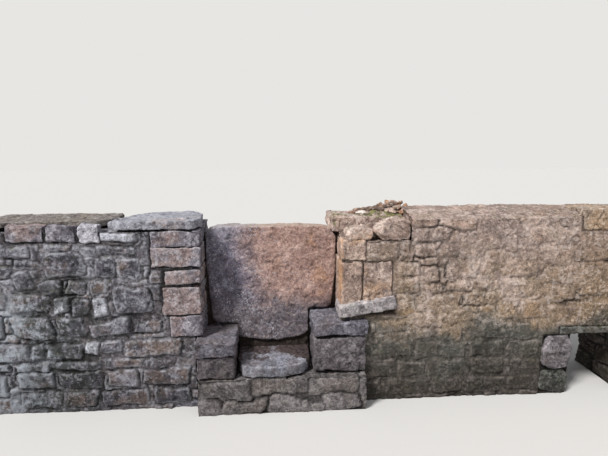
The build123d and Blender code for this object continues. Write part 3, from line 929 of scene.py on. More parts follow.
# Left-hand materials are darker and bluer: partly the stones' own colour, partly painted shade.
LEFT_STONE = stone_material(
    "left_stone", (74, 71, 80), (117, 112, 121), (166, 162, 170), second=(145, 125, 121),
    mortar=(120, 114, 120), lichen_colour=(192, 192, 200), moss=0.12, stain=0.45, edge=0.7,
)
LEFT_RUBBLE = stone_material(
    "left_rubble", (44, 43, 50), (82, 80, 88), (139, 137, 147), second=(119, 103, 96),
    mortar=(98, 93, 97), lichen_colour=(176, 178, 187), moss=0.3, stain=0.6, edge=0.85, lime=True,
)
# Right-hand materials are warmer: partly the stones' own colour, partly painted sunlight.
RIGHT_STONE = stone_material(
    "right_stone", (100, 86, 82), (150, 131, 123), (192, 173, 162), second=(166, 136, 112),
    mortar=(142, 124, 112), lichen=0.35, lichen_colour=(204, 190, 180), stain=0.35,
)
JAMB_STONE = stone_material(
    "jamb_stone", (106, 88, 82), (160, 138, 128), (206, 184, 170), second=(180, 146, 118),
    mortar=(142, 124, 112), lichen=0.3, lichen_colour=(204, 186, 170), stain=0.35,
    arris=RIGHT_JAMB,
)
PIER_TOP_STONE = stone_material(
    "pier_top_stone", (114, 96, 90), (166, 143, 133), (208, 188, 178), second=(176, 146, 124),
    mortar=(150, 130, 118), lichen_colour=(212, 198, 190), moss=0.30, moss_colour=(104, 106, 58),
    stain=0.3, painted_top_light=0.25,
)
PIER_CAP_STONE = stone_material(
    "pier_cap_stone", (116, 98, 92), (166, 144, 134), (208, 188, 178), second=(176, 146, 124),
    mortar=(150, 130, 118), lichen_colour=(204, 194, 190), moss=0.85, moss_colour=(112, 112, 62),
    moss_above=1.375, painted_top_light=0.15,
)
END_TOP_STONE = stone_material(
    "end_top_stone", (102, 87, 78), (144, 126, 112), (188, 169, 152), second=(164, 138, 112),
    mortar=(150, 130, 118), lichen_colour=(206, 194, 184), painted_top_light=0.2,
)
# Its bands darken low down: partly damp, partly painted shade.
RIGHT_RUBBLE = stone_material(
    "right_rubble", (76, 66, 62), (138, 119, 109), (194, 173, 160), second=(158, 126, 100),
    mortar=(158, 138, 126), lichen=0.45, lichen_colour=(202, 190, 184), moss=0.3, stain=0.45, damp=0.85,
    bands=((0.14, (56, 60, 56)), (0.38, (86, 91, 86)), (0.48, (148, 129, 102)), (0.62, (152, 132, 112)),
           (0.85, (158, 140, 134))), light_patch=(200, 180, 172), blotchy=0.65, wet_top=0.80,
)
CAP_STONE = stone_material(
    "cap_stone", (98, 96, 103), (135, 133, 142), (178, 178, 187), second=(162, 141, 131),
    lichen=0.5, lichen_colour=(178, 182, 192), moss=0.08, stain=0.3, painted_top_light=0.4,
)
TOP_SLAB = stone_material(
    "top_slab", (82, 76, 76), (118, 111, 110), (156, 149, 147), second=(122, 113, 107),
    lichen=0.35, lichen_colour=(176, 174, 174), moss=0.08, stain=0.5,
)
STEP_STONE = stone_material(
    "step_stone", (57, 54, 61), (91, 88, 97), (133, 130, 140), second=(108, 98, 100),
    lichen=0.3, lichen_colour=(156, 156, 168), moss=0.1, stain=0.35, damp=0.4, edge=0.6, painted_top_light=0.1,
)
DOORSTEP_STONE = stone_material(
    "doorstep_stone", (112, 114, 126), (138, 140, 152), (166, 168, 180), second=(108, 102, 106),
    lichen=0.1, lichen_colour=(176, 180, 188), moss=0.05, stain=0.35, damp=0.1, speck=0.3, soil=True,
)
STEP_BASE_STONE = stone_material(
    "step_base_stone", (66, 61, 66), (98, 91, 96), (136, 129, 134), second=(112, 100, 96),
    lichen=0.25, lichen_colour=(160, 158, 160), moss=0.3, stain=0.5, damp=0.6,
)
LEDGE_STONE = stone_material(
    "ledge_stone", (108, 101, 104), (148, 141, 143), (190, 184, 184), second=(142, 128, 122),
    lichen_colour=(196, 194, 196), moss=0.1, stain=0.35, damp=0.3,
)
DAMP_STONE = stone_material(
    "damp_stone", (68, 64, 66), (106, 101, 102), (150, 144, 144), second=(112, 104, 100),
    mortar=(84, 80, 80), lichen=0.35, lichen_colour=(172, 168, 168), moss=0.12, damp=0.45,
)
# Dark stone of the lintel and the low jamb stone: partly moss and damp, partly painted shade in the opening.
SHADED_MOSSY_STONE = stone_material(
    "shaded_mossy_stone", (48, 48, 46), (76, 76, 73), (114, 113, 109), second=(84, 78, 70),
    lichen=0.3, lichen_colour=(150, 150, 146), moss=0.6, moss_colour=(84, 92, 50), damp=0.2,
    edge=0.7,
)
BOULDER_STONE = stone_material(
    "boulder_stone", (54, 51, 54), (90, 85, 88), (138, 132, 136), second=(100, 92, 90),
    mortar=(80, 76, 74), lichen=0.35, lichen_colour=(166, 160, 164), moss=0.2, damp=0.3,
)
EARTH = stone_material(
    "earth", (40, 34, 32), (58, 50, 46), (84, 74, 68), second=(50, 44, 38), mortar=(58, 50, 46),
    lichen=0.05, lichen_colour=(110, 104, 98), speck=0.2,
)
LOOSE_STONE = stone_material(
    "loose_stone", (128, 106, 96), (172, 148, 134), (208, 188, 176), second=(190, 138, 98),
    lichen=0.2, lichen_colour=(206, 196, 190), moss=0.08, stain=0.3, damp=0.0,
)


def slab_material():
    """The upright slab: painted shade, cold and dark, at its left, and painted warm sunlight at its centre
    and right.
    """
    s = Shader("slab_stone")
    x, z = s.axis("X"), s.axis("Z")
    blotch = s.noise(10, 10, 0.74, 8.0)
    s.mottle = s.noise(30, 10, 0.78, 1.0)
    s.grain = s.crystals(66)
    s.fine = s.crystals(155)
    drift = s.less(s.noise(2.6, 6, 0.6, 2.2), 0.5)
    swell = s.plus(blotch, s.swing(s.mottle, 0.55))
    side = s.plus(s.plus(x, s.times(drift, 0.45)), s.swing(blotch, 0.40))
    side = s.less(side, s.times(s.less(1.3, z), 0.20))
    # Painted light: the shaded colours stand for the left wall's shadow, the sunned ones for warm sunlight.
    shaded_colours = s.tints(swell, (0.32, (70, 66, 78)), (0.50, (108, 103, 118)), (0.70, (156, 154, 170)))
    sunned = s.tints(swell, (0.30, (132, 103, 94)), (0.50, (164, 134, 125)), (0.70, (199, 171, 161)))
    colour = s.mix(s.step(side, -0.36, -0.06), shaded_colours, sunned)
    # Deeper warm orange patches on the sunlit side: painted sunlight.
    sunlit_warmth = s.times(s.step(s.noise(5.5, 8, 0.7, 51.0), 0.52, 0.66), s.step(side, -0.1, 0.15))
    colour = s.blend(sunlit_warmth, 0.45, colour, s.mix(s.mottle, linear(160, 118, 88), linear(206, 162, 124)))
    low = s.plus(s.plus(z, s.times(drift, 0.35)), s.swing(blotch, 0.30))
    foot = s.tints(swell, (0.32, (80, 73, 79)), (0.50, (110, 102, 108)), (0.70, (142, 134, 140)))
    colour = s.mix(s.rest(s.step(low, 0.62, 0.84)), colour, foot)
    shade = s.greys(s.mottle, (0.34, 0.80), (0.5, 1.0), (0.66, 1.18))
    colour = crystalline(s, s.mix(0.9, colour, shade, "MULTIPLY"), (0.86, 1.14), (0.72, 1.28))
    # Pale flecks of the stone, stronger on the side painted in shade.
    flecks = s.times(s.step(s.crystals(120), 0.72, 0.90), s.step(s.noise(9, 6, 0.7, 12.0), 0.40, 0.60))
    on_shaded_side = s.rest(s.step(side, -0.35, 0.20))
    colour = s.blend(flecks, s.plus(0.22, s.times(on_shaded_side, 0.50)), colour, linear(186, 188, 200))
    crumbs = s.step(s.noise(62, 9, 0.80, 18.0), 0.57, 0.62)
    colour = s.blend(crumbs, 0.45, colour, linear(212, 186, 166))
    pits = s.step(s.noise(50, 9, 0.80, 28.0), 0.55, 0.61)
    colour = s.darken(s.times(pits, 0.65), colour, (0.30, 0.28, 0.28))
    # Painted highlight: upward faces paler.
    top = s.step(s.upward(), 0.3, 0.9)
    colour = s.blend(top, 0.5, colour, s.mix(s.mottle, linear(140, 128, 118), linear(204, 192, 178)))
    # Pale arrises: wear, partly a painted highlight where the edges catch the light.
    colour = s.blend(s.field("worn"), 0.3, colour, linear(196, 184, 176))
    # Painted shade in the hollows of the slab's face.
    colour = s.darken(s.times(s.field("dark"), 0.6), colour, (0.32, 0.30, 0.30))
    corner = s.times(s.step(s.plus(z, s.times(drift, 0.3)), 1.15, 1.30),
                     s.rest(s.step(s.plus(x, s.times(drift, 0.4)), -0.32, -0.05)))
    corner = s.times(corner, s.step(blotch, 0.40, 0.56))
    colour = s.blend(corner, 0.55, colour, s.mix(s.grain, linear(128, 124, 134), linear(186, 182, 192)))
    # Painted shadow: a dark strip along the slab's left edge, beside the jamb.
    edge = s.rest(s.step(s.plus(x, s.times(blotch, 0.12)), -0.46, -0.34))
    colour = s.blend(edge, 0.35, colour, linear(50, 44, 50))
    bumps = [(blotch, 0.5, 0.03), (s.mottle, 0.55, 0.010), (s.rest(pits), 0.6, 0.004), (s.grain, 0.3, 0.0020),
             (s.fine, 0.3, 0.0015)]
    return s.finish(colour, s.plus(0.78, s.times(s.fine, 0.2), clamp=True), bumps)


SLAB_STONE = slab_material()


# The left wall
LEFT_QUOINS = [f"left_quoin_{n}" for n in range(1, 6)]
LEFT_TOP_STONES = [f"left_top_stone_{n}" for n in range(1, 4)]
LEFT_MAIN = main_stones(LEFT_JAMB, -1, [
    (0.380, 0.280, 1.272, 0.066, 0, 0.012, 0.972),
    (0.370, 0.160, 1.000, 0.150, -2, 0.000, 0.35),
    (0.540, 0.130, 1.010, 0.150, 3, 0.002, 0.6),
    (0.740, 0.290, 1.030, 0.170, -1, 0.006, 0.45),
    (1.110, 0.190, 1.158, 0.076, -2, 0.004, 0.9),
    (1.110, 0.130, 0.940, 0.140, -14, 0.006, 0.75),
    (1.330, 0.230, 1.040, 0.150, 2, 0.002, 0.3),
    (0.300, 0.260, 0.745, 0.190, 0, 0.006, 0.55),
    (1.310, 0.250, 0.800, 0.165, -3, 0.004, 0.8),
    (0.245, 0.190, 0.592, 0.084, -5, 0.003, 0.5),
    (0.455, 0.295, 0.580, 0.115, -9, 0.009, 0.7),
    (1.000, 0.280, 0.575, 0.165, 3, 0.006, 0.95),
    (1.330, 0.230, 0.585, 0.150, 0, 0.004, 0.9),
    (0.110, 0.400, 0.420, 0.125, -2, 0.006, 0.65),
    (0.530, 0.150, 0.450, 0.090, -3, 0.003, 0.55),
    (0.800, 0.260, 0.410, 0.120, 2, 0.004, 0.7),
    (1.180, 0.330, 0.400, 0.140, -1, 0.004, 0.85),
    (0.400, 0.255, 1.183, 0.058, 3, 0.002, 0.3),
    (0.600, 0.115, 0.733, 0.128, -8, 0.004, 1.0),
    (0.740, 0.115, 0.738, 0.118, 2, 0.002, 0.45),
    (0.872, 0.112, 0.765, 0.112, -3, 0.003, 1.0),
    (1.015, 0.260, 0.772, 0.132, 2, 0.003, 0.85),
    (0.600, 0.110, 0.885, 0.095, -3, 0.001, 0.36),
    (0.738, 0.150, 0.892, 0.108, 3, 0.002, 0.8),
    (0.925, 0.150, 0.905, 0.100, -3, 0.002, 0.7),
    (0.782, 0.185, 0.582, 0.148, 2, 0.003, 0.6),
    (0.690, 0.095, 0.432, 0.108, 4, 0.003, 1.0),
    (1.078, 0.088, 0.405, 0.128, -2, 0.001, 0.8),
    (0.390, 0.270, 0.326, 0.076, 1, 0.002, 0.5),
    (0.690, 0.330, 0.326, 0.066, -1, 0.002, 0.7),
    (1.050, 0.240, 0.324, 0.062, 1, 0.001, 0.4),
    (1.320, 0.220, 0.324, 0.060, -1, 0.002, 0.6),
]) + foot_stones(LEFT_JAMB, -1, LEFT_JAMB - LEFT_LO[0])
LEFT_SMALL = [
    hand(-1.77, -1.60, 1.09, 1.148, 0.0, -0.006, 0.25),
    hand(-0.985, -0.865, 0.955, 0.99, 0.05, -0.008, 0.4),
    hand(-0.86, -0.775, 0.962, 1.05, 0.0, -0.004, 0.5),
]
QUOIN_TONES = (0.45, 0.66, 0.80, 0.78, 0.32)
TOP_STONE_TONES = (0.50, 0.30, 0.967)

# What comes off each quoin for its joints, in metres: at its left, underneath and on top
QUOIN_TRIMS = (
    (0.003, 0.002, 0.002),
    (0.003, 0.002, 0.012),
    (0.004, 0.010, 0.006),
    (0.002, 0.006, 0.003),
    (0.002, 0.002, 0.004),
)


def left_wall():
    """The rubble core on the left, with joints round every quoin and top stone."""
    x0, x1, z1 = LEFT_LO[0], LEFT_HI[0], LEFT_HI[2]
    near = filled_layout(x0, x1, 0, z1, 11, LEFT_MAIN + LEFT_SMALL)
    far = filled_layout(x0, x1, 0, z1, 23, LEFT_MAIN)
    end = filled_layout(NEAR_Y, FAR_Y, 0, z1, 31, length=(0.15, 0.30))
    jamb = filled_layout(NEAR_Y, FAR_Y, 0, z1, 37)
    top = filled_layout(x0, x1, NEAR_Y, FAR_Y, 41)
    quoin_zones = [xz_rect(n) for n in LEFT_QUOINS]
    near_zones = quoin_zones + [xz_rect(n) for n in LEFT_TOP_STONES]
    jamb_zones = [yz_rect(n) for n in LEFT_QUOINS]
    face = {"mortar": -MORTAR_SET_BACK, "rough": 1.1}
    masonry(
        "left_wall_rubble",
        [[x0, x1], [NEAR_Y, FAR_Y], [0, z1]],
        [NEAR_GRID, SIDE_GRID, NEAR_GRID],
        {
            (1, -1): side_relief("xz", near, 100, near_zones, buried=0.45, **face),
            (1, 1): side_relief("xz", far, 200, quoin_zones, buried=0.40, **face),
            (0, -1): side_relief("yz", end, 300, set_back=END_SET_BACK),
            (0, 1): side_relief("yz", jamb, 400, jamb_zones, SIDE_SET_BACK),
            (2, 1): side_relief("xy", top, 500, set_back=SIDE_SET_BACK),
        },
        LEFT_RUBBLE, ["left_wall_core"], "rubble",
    )


def uneven_end(corners, y, into, jitter, rng):
    """The outline at one end of a stone, its corners and sides a little out of true."""
    moved = [(x + rng.uniform(-jitter, jitter), z + rng.uniform(-jitter, jitter)) for x, z in corners]
    points = []
    for (ax, az), (bx, bz) in zip(moved, moved[1:] + moved[:1]):
        along = math.hypot(bx - ax, bz - az)
        bow = min(jitter * 0.9, along * 0.05)
        nx, nz = (bz - az) / along, -(bx - ax) / along
        for part in SIDE_PARTS:
            off = 0 if part == 0 else rng.uniform(-bow, bow * 0.4)
            place = y + into * rng.uniform(0, jitter * 0.5)
            points.append((ax + (bx - ax) * part + nx * off, place, az + (bz - az) * part + nz * off))
    return points


def bedded(node, seed, material, slot, trim=(0.005, 0.005, 0.0, 0.0, 0.004, 0.004), jitter=0.007, **kw):
    """A squared stone for a node: its box, trimmed for the joints, with uneven corners.

    trim is what comes off at the low and high side of x, then of y, then of z."""
    lo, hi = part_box(node)
    rng = random.Random(seed)
    corners = rectangle(lo[0] + trim[0], hi[0] - trim[1], lo[2] + trim[4], hi[2] - trim[5])
    first = uneven_end(corners, lo[1] + trim[2], 1, jitter, rng)
    last = uneven_end(corners, hi[1] - trim[3], -1, jitter, rng)
    stone(block_name(node), prism(first, last), seed, material, slot, [node], **kw)


def block_name(node):
    """The name of the block that replaces a node."""
    return node.replace("_stone", "") + "_block"


def shaped(node, shares, seed, material, slot, set_back=0.0, **kw):
    """A rounded stone for a node. shares is its outline from the near side, as shares of the node's box."""
    lo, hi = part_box(node)
    outline = [(lo[0] + (hi[0] - lo[0]) * a, lo[2] + (hi[2] - lo[2]) * b) for a, b in shares]
    mesh = prism_xz(outline, lo[1] + set_back, hi[1])
    stone(block_name(node), mesh, seed, material, slot, [node], cuts=12, **kw)


def left_stones():
    """Quoins, cap stone, back slab and the face stones along the top."""
    slot = "left_dressed_stone"
    for seed, (node, tone, (x_trim, low, high)) in enumerate(zip(LEFT_QUOINS, QUOIN_TONES, QUOIN_TRIMS), 50):
        bedded(node, seed, LEFT_STONE, slot, (x_trim, 0.0, 0.0, 0.0, low, high), tone=tone)
    for seed, (node, tone) in enumerate(zip(LEFT_TOP_STONES, TOP_STONE_TONES), 60):
        bedded(node, seed, LEFT_STONE, slot, tone=tone, jitter=0.012)
    lo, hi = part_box("left_cap_stone")
    outline = [
        (lo[0], lo[1] + 0.02), (lo[0] + 0.13, lo[1]), (lo[0] + 0.40, lo[1] + 0.006),
        (hi[0] - 0.06, lo[1] + 0.01), (hi[0] - 0.004, lo[1] + 0.12), (hi[0] - 0.03, 0.10),
        (hi[0] - 0.11, hi[1]), (hi[0] - 0.42, hi[1] - 0.03), (lo[0] + 0.10, 0.05), (lo[0] + 0.02, -0.14),
    ]
    stone("left_cap_block", prism_xy(outline, lo[2] + 0.004, hi[2]), 71, CAP_STONE, "cap_stone",
          ["left_cap_stone"], tone=0.6, chips=0.008)
    lo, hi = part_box("left_back_cap")
    outline = [
        (lo[0] + 0.10, lo[1] + 0.02), (lo[0] + 0.5, lo[1]), (hi[0] - 0.12, lo[1] + 0.03),
        (hi[0] + 0.02, lo[1] + 0.14), (hi[0] - 0.02, hi[1] - 0.03), (lo[0] + 0.6, hi[1]),
        (lo[0] + 0.06, hi[1] - 0.02), (lo[0] + 0.03, 0.0),
    ]
    stone("left_back_slab", prism_xy(outline, lo[2] + 0.002, hi[2]), 72, TOP_SLAB, "weathered_top",
          ["left_back_cap"], tone=0.5, chips=0.008)


# The slab, steps and doorsteps
# How far the joint packing lies behind the slab's faces, laps it, bites into the wall, stops below the
# slab's top and reaches below the steps' tops
PACKING_RECESS = 0.035
PACKING_OVERLAP = 0.050
PACKING_BITE = 0.008
PACKING_BELOW_TOP = 0.048
PACKING_BELOW_STEP = 0.02


def slab_piece():
    """The upright slab, from its outline on the near side."""
    lo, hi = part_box("upright_slab")
    toe_l, _, z_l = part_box("near_left_step")[1]
    toe_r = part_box("near_right_step")[0][0]
    z_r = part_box("near_right_step")[1][2]
    outline = [
        (toe_l + 0.004, lo[2] + 0.034), (toe_l + 0.10, lo[2] + 0.016), (toe_l + 0.20, lo[2] + 0.002),
        (toe_l + 0.31, lo[2]), (toe_r - 0.12, lo[2] + 0.018), (toe_r - 0.02, lo[2] + 0.042),
        (toe_r - 0.004, lo[2] + 0.07), (toe_r - 0.004, z_r + 0.004), (hi[0] - 0.026, z_r + 0.004),
        (hi[0] + 0.004, 0.95), (hi[0] + 0.006, hi[2] - 0.085), (hi[0] - 0.040, hi[2] - 0.020),
        (hi[0] - 0.10, hi[2] - 0.004), (0.20, hi[2]), (-0.20, hi[2] - 0.002), (lo[0] + 0.15, hi[2] + 0.002),
        (lo[0] + 0.06, hi[2] - 0.008), (lo[0] - 0.004, hi[2] - 0.034), (lo[0] - 0.004, 1.0),
        (lo[0] + 0.026, z_l + 0.05), (lo[0] + 0.05, z_l + 0.016), (toe_l + 0.002, z_l + 0.004),
    ]
    mesh = prism_xz(outline, lo[1] + 0.002, hi[1] - 0.002)
    stone("slab_on_edge", mesh, 81, SLAB_STONE, "slab_stone", ["upright_slab"],
          voxel=HERO_VOXEL, smooth=3, lumps=0.0060, grit=0.0022, chips=0.008, cuts=16, depth=0.014)


def step_pieces():
    """Step blocks and their base stones on both sides, and the two doorsteps."""
    for side, side_seed in (("near", 90), ("far", 100)):
        for way, seed, tone in (("left", side_seed, 0.4), ("right", side_seed + 5, 0.6)):
            node = f"{side}_{way}_step"
            bedded(node, seed, STEP_STONE, "step_stone", (0.003, 0.003, 0.006, 0.006, 0.003, 0.0), 0.010,
                   tone=tone, lumps=0.008)
            bedded(f"{node}_base", seed + 1, STEP_BASE_STONE, "step_stone",
                   (0.006, 0.010, 0.008, 0.008, 0.0, 0.004), 0.008, tone=tone * 0.8, lumps=0.009)
    for side, into in (("near", 1), ("far", -1)):
        lo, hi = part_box(f"{side}_doorstep")
        edge, inner = (lo[1], hi[1]) if into > 0 else (hi[1], lo[1])
        outline = [
            (lo[0] + 0.004, inner), (lo[0] + 0.006, edge + 0.16 * into), (lo[0] + 0.05, edge + 0.03 * into),
            (lo[0] + 0.16, edge + 0.004 * into), (hi[0] - 0.22, edge), (hi[0] - 0.08, edge + 0.05 * into),
            (hi[0] - 0.01, edge + 0.14 * into), (hi[0] - 0.004, inner),
        ]
        stone(f"{side}_doorstep_slab", prism_xy(outline, lo[2], hi[2]), 120 + into, DOORSTEP_STONE,
              "doorstep_stone", [f"{side}_doorstep"], lumps=0.003, grit=0.0025, chips=0.009, cuts=10,
              depth=0.008)


def footing():
    """The footing under the gap."""
    (x0, y0, _), (x1, y1, z1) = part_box("threshold_footing")
    near = filled_layout(x0, x1, 0, z1, 51, length=(0.2, 0.42))
    far = filled_layout(x0, x1, 0, z1, 52, length=(0.2, 0.42))
    ends = filled_layout(y0, y1, 0, z1, 53)
    top = filled_layout(x0, x1, y0, y1, 54)
    masonry(
        "footing_masonry",
        [[x0, x1], [y0, y1], [0, z1]],
        [FOOTING_GRID, FOOTING_SIDE_GRID, FOOTING_GRID],
        {
            (1, -1): side_relief("xz", near, 600, set_back=SIDE_SET_BACK),
            (1, 1): side_relief("xz", far, 610, set_back=SIDE_SET_BACK),
            (0, -1): side_relief("yz", ends, 620, set_back=SIDE_SET_BACK),
            (0, 1): side_relief("yz", ends, 630, set_back=SIDE_SET_BACK),
            (2, 1): side_relief("xy", top, 640, set_back=0.5 * SIDE_SET_BACK),
        },
        DAMP_STONE, ["threshold_footing"], "footing",
    )


def packing():
    """The bedding under the toe of the slab, and the packing of the joints at its sides and toe."""
    lo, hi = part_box("slab_bed")
    bm = bmesh.new()
    bm.from_mesh(prism_xz(rectangle(lo[0], hi[0], lo[2], hi[2]), lo[1], hi[1]))
    slab_lo, slab_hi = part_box("upright_slab")
    y0, y1 = slab_lo[1] + PACKING_RECESS, slab_hi[1] - PACKING_RECESS
    top = slab_hi[2] - PACKING_BELOW_TOP
    for node, out, edge, jamb in (("near_left_step", -1, slab_lo[0], LEFT_JAMB),
                                  ("near_right_step", 1, slab_hi[0], RIGHT_JAMB)):
        step_lo, step_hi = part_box(node)
        toe = step_lo[0] if out > 0 else step_hi[0]
        side_strip = (edge, jamb, step_hi[2] - PACKING_BELOW_STEP, top)
        toe_strip = (toe, toe, lo[2], step_hi[2])
        for inner, outer, z0, z1 in (side_strip, toe_strip):
            x0, x1 = sorted((inner - out * PACKING_OVERLAP, outer + out * PACKING_BITE))
            bm.from_mesh(prism_xz(rectangle(x0, x1, z0, z1), y0, y1))
    stone("slab_packing", mesh_from(bm, "slab_packing"), 130, EARTH, "bedding", ["slab_bed"],
          voxel=PACKING_VOXEL, smooth=3, tone=0.2, joint=1.0, cuts=0, lumps=0.008)


# The right wall
# Outlines of rounded stones from the near side, as shares of the length and height of their node
BOULDER_OUTLINE = [(-0.02, 0.10), (-0.04, 0.60), (0.20, 0.97), (0.84, 1.0), (1.02, 0.60), (1.0, 0.06),
                   (0.5, -0.02)]
OVAL_OUTLINE = [(0.0, 0.30), (0.04, 0.70), (0.26, 0.97), (0.70, 1.0), (0.96, 0.78), (1.0, 0.30),
                (0.90, -0.10), (0.10, -0.10)]
PIER_BOULDER_OUTLINE = [(-0.02, 0.34), (0.06, 0.54), (0.38, 0.95), (0.52, 1.0), (0.99, 0.98), (1.03, 0.44),
                        (1.02, -0.08), (0.20, -0.08)]
LOW_JAMB_OUTLINE = [(0.0, 0.0), (-0.03, 0.88), (0.12, 1.0), (0.90, 1.0), (1.0, 0.6), (0.98, 0.0)]
RIGHT_QUOINS = ["right_quoin_1", "right_quoin_2"]
RIGHT_FACE_STONES = ["right_pier_stone", "right_ledge_stone", "opening_lintel", "right_end_top_stone",
                     "opening_jamb_stone_lower", "opening_jamb_stone_upper"]

# How high the weathered top stands at four places through the wall, in metres
RIDGE_PLACES = (NEAR_Y, -0.13, 0.065, FAR_Y)
RIDGE_HEIGHTS = (0.0, 0.034, 0.058, 0.024)

RIGHT_MAIN = main_stones(RIGHT_JAMB, 1, [
    (0.200, 0.230, 1.115, 0.128, 0, 0.002, 0.6),
    (0.530, 0.270, 1.245, 0.090, -2, 0.006, 0.9),
    (0.900, 0.300, 1.180, 0.140, 2, 0.002, 0.6),
    (1.330, 0.280, 1.210, 0.120, -2, 0.000, 0.4),
    (0.620, 0.115, 0.930, 0.120, -6, 0.006, 0.95),
    (0.790, 0.240, 0.960, 0.130, 3, 0.000, 0.5),
    (1.180, 0.300, 0.960, 0.150, -1, 0.004, 0.8),
    (1.530, 0.240, 0.900, 0.120, 2, 0.002, 0.5),
    (0.560, 0.230, 0.700, 0.120, -2, 0.000, 0.3),
    (0.930, 0.260, 0.740, 0.110, 2, 0.002, 0.7),
    (1.380, 0.200, 0.635, 0.135, 3, 0.004, 0.5),
    (0.280, 0.220, 0.550, 0.095, -2, 0.000, 0.3),
    (0.570, 0.140, 0.485, 0.080, 0, 0.004, 0.8),
    (1.090, 0.440, 0.470, 0.140, 3, 0.008, 0.35),
    (1.000, 0.280, 0.335, 0.115, -3, 0.003, 0.3),
    (0.300, 0.250, 0.345, 0.130, 2, 0.000, 0.4),
    (0.440, 0.075, 1.122, 0.108, 0, 0.000, 0.5),
    (0.545, 0.160, 1.128, 0.098, 2, 0.002, 0.7),
    (0.735, 0.145, 1.118, 0.112, -2, 0.002, 0.4),
    (1.228, 0.080, 1.150, 0.125, -2, 0.000, 0.6),
    (1.505, 0.265, 1.045, 0.132, 1, 0.003, 0.7),
    (1.640, 0.150, 1.205, 0.118, -2, 0.000, 0.5),
    (1.052, 0.108, 0.982, 0.122, 3, 0.001, 0.4),
    (0.410, 0.185, 0.985, 0.108, 2, 0.000, 0.55),
    (0.415, 0.165, 0.850, 0.112, -2, 0.002, 0.35),
    (0.620, 0.150, 0.838, 0.074, 1, 0.000, 0.5),
    (0.800, 0.200, 0.862, 0.076, 1, 0.002, 0.6),
    (1.022, 0.140, 0.868, 0.074, -2, 0.000, 0.35),
    (1.212, 0.270, 0.800, 0.132, -1, 0.003, 0.6),
    (1.615, 0.175, 0.600, 0.130, 2, 0.000, 0.45),
    (1.612, 0.178, 0.758, 0.118, -2, 0.002, 0.6),
    (0.822, 0.228, 0.606, 0.112, -1, 0.002, 0.45),
    (0.562, 0.215, 0.590, 0.088, 2, 0.001, 0.6),
    (0.745, 0.200, 0.470, 0.106, 1, 0.000, 0.4),
    (0.575, 0.180, 0.340, 0.118, -2, 0.002, 0.5),
    (0.780, 0.195, 0.340, 0.108, 2, 0.001, 0.3),
    (1.310, 0.250, 0.335, 0.115, 1, 0.002, 0.45),
    (1.208, 0.145, 0.640, 0.122, 2, 0.001, 0.5),
])
RIGHT_MAIN += foot_stones(RIGHT_JAMB, 1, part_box("opening_jamb_stone_lower")[0][0] - RIGHT_JAMB)
RIGHT_MAIN += main_stones(OPENING_X0, 1, [
    (0.015, 0.390, 1.070, 0.205, -1, 0.002, 0.85),
    (0.015, 0.390, 0.800, 0.220, 0, 0.004, 0.9),
    (0.040, 0.270, 0.600, 0.150, -2, 0.002, 0.55),
])
RIGHT_MAIN += main_stones(OPENING_X1, 1, [
    (0.015, 0.380, 0.880, 0.185, -2, 0.002, 0.6),
    (0.020, 0.230, 1.110, 0.150, 2, 0.002, 0.7),
    (0.280, 0.260, 1.110, 0.160, -1, 0.000, 0.5),
    (0.020, 0.250, 0.620, 0.190, 2, 0.002, 0.45),
    (0.310, 0.230, 0.610, 0.200, -2, 0.000, 0.6),
    (0.020, 0.300, 0.350, 0.160, 0, 0.002, 0.4),
    (0.350, 0.190, 0.360, 0.170, 3, 0.000, 0.5),
])
RIGHT_MAIN += foot_stones(OPENING_X1, 1, END_HI[0] - OPENING_X1)


def ridge_height(p):
    """How far the weathered top rises above its near edge, across the wall."""
    across = np.interp(p[:, 1], RIDGE_PLACES, RIDGE_HEIGHTS)
    swell = 0.012 * fractal(p, 0.45, 3, 77)
    return across + np.where(p[:, 1] < NEAR_Y + 0.01, swell * 0.3, swell)


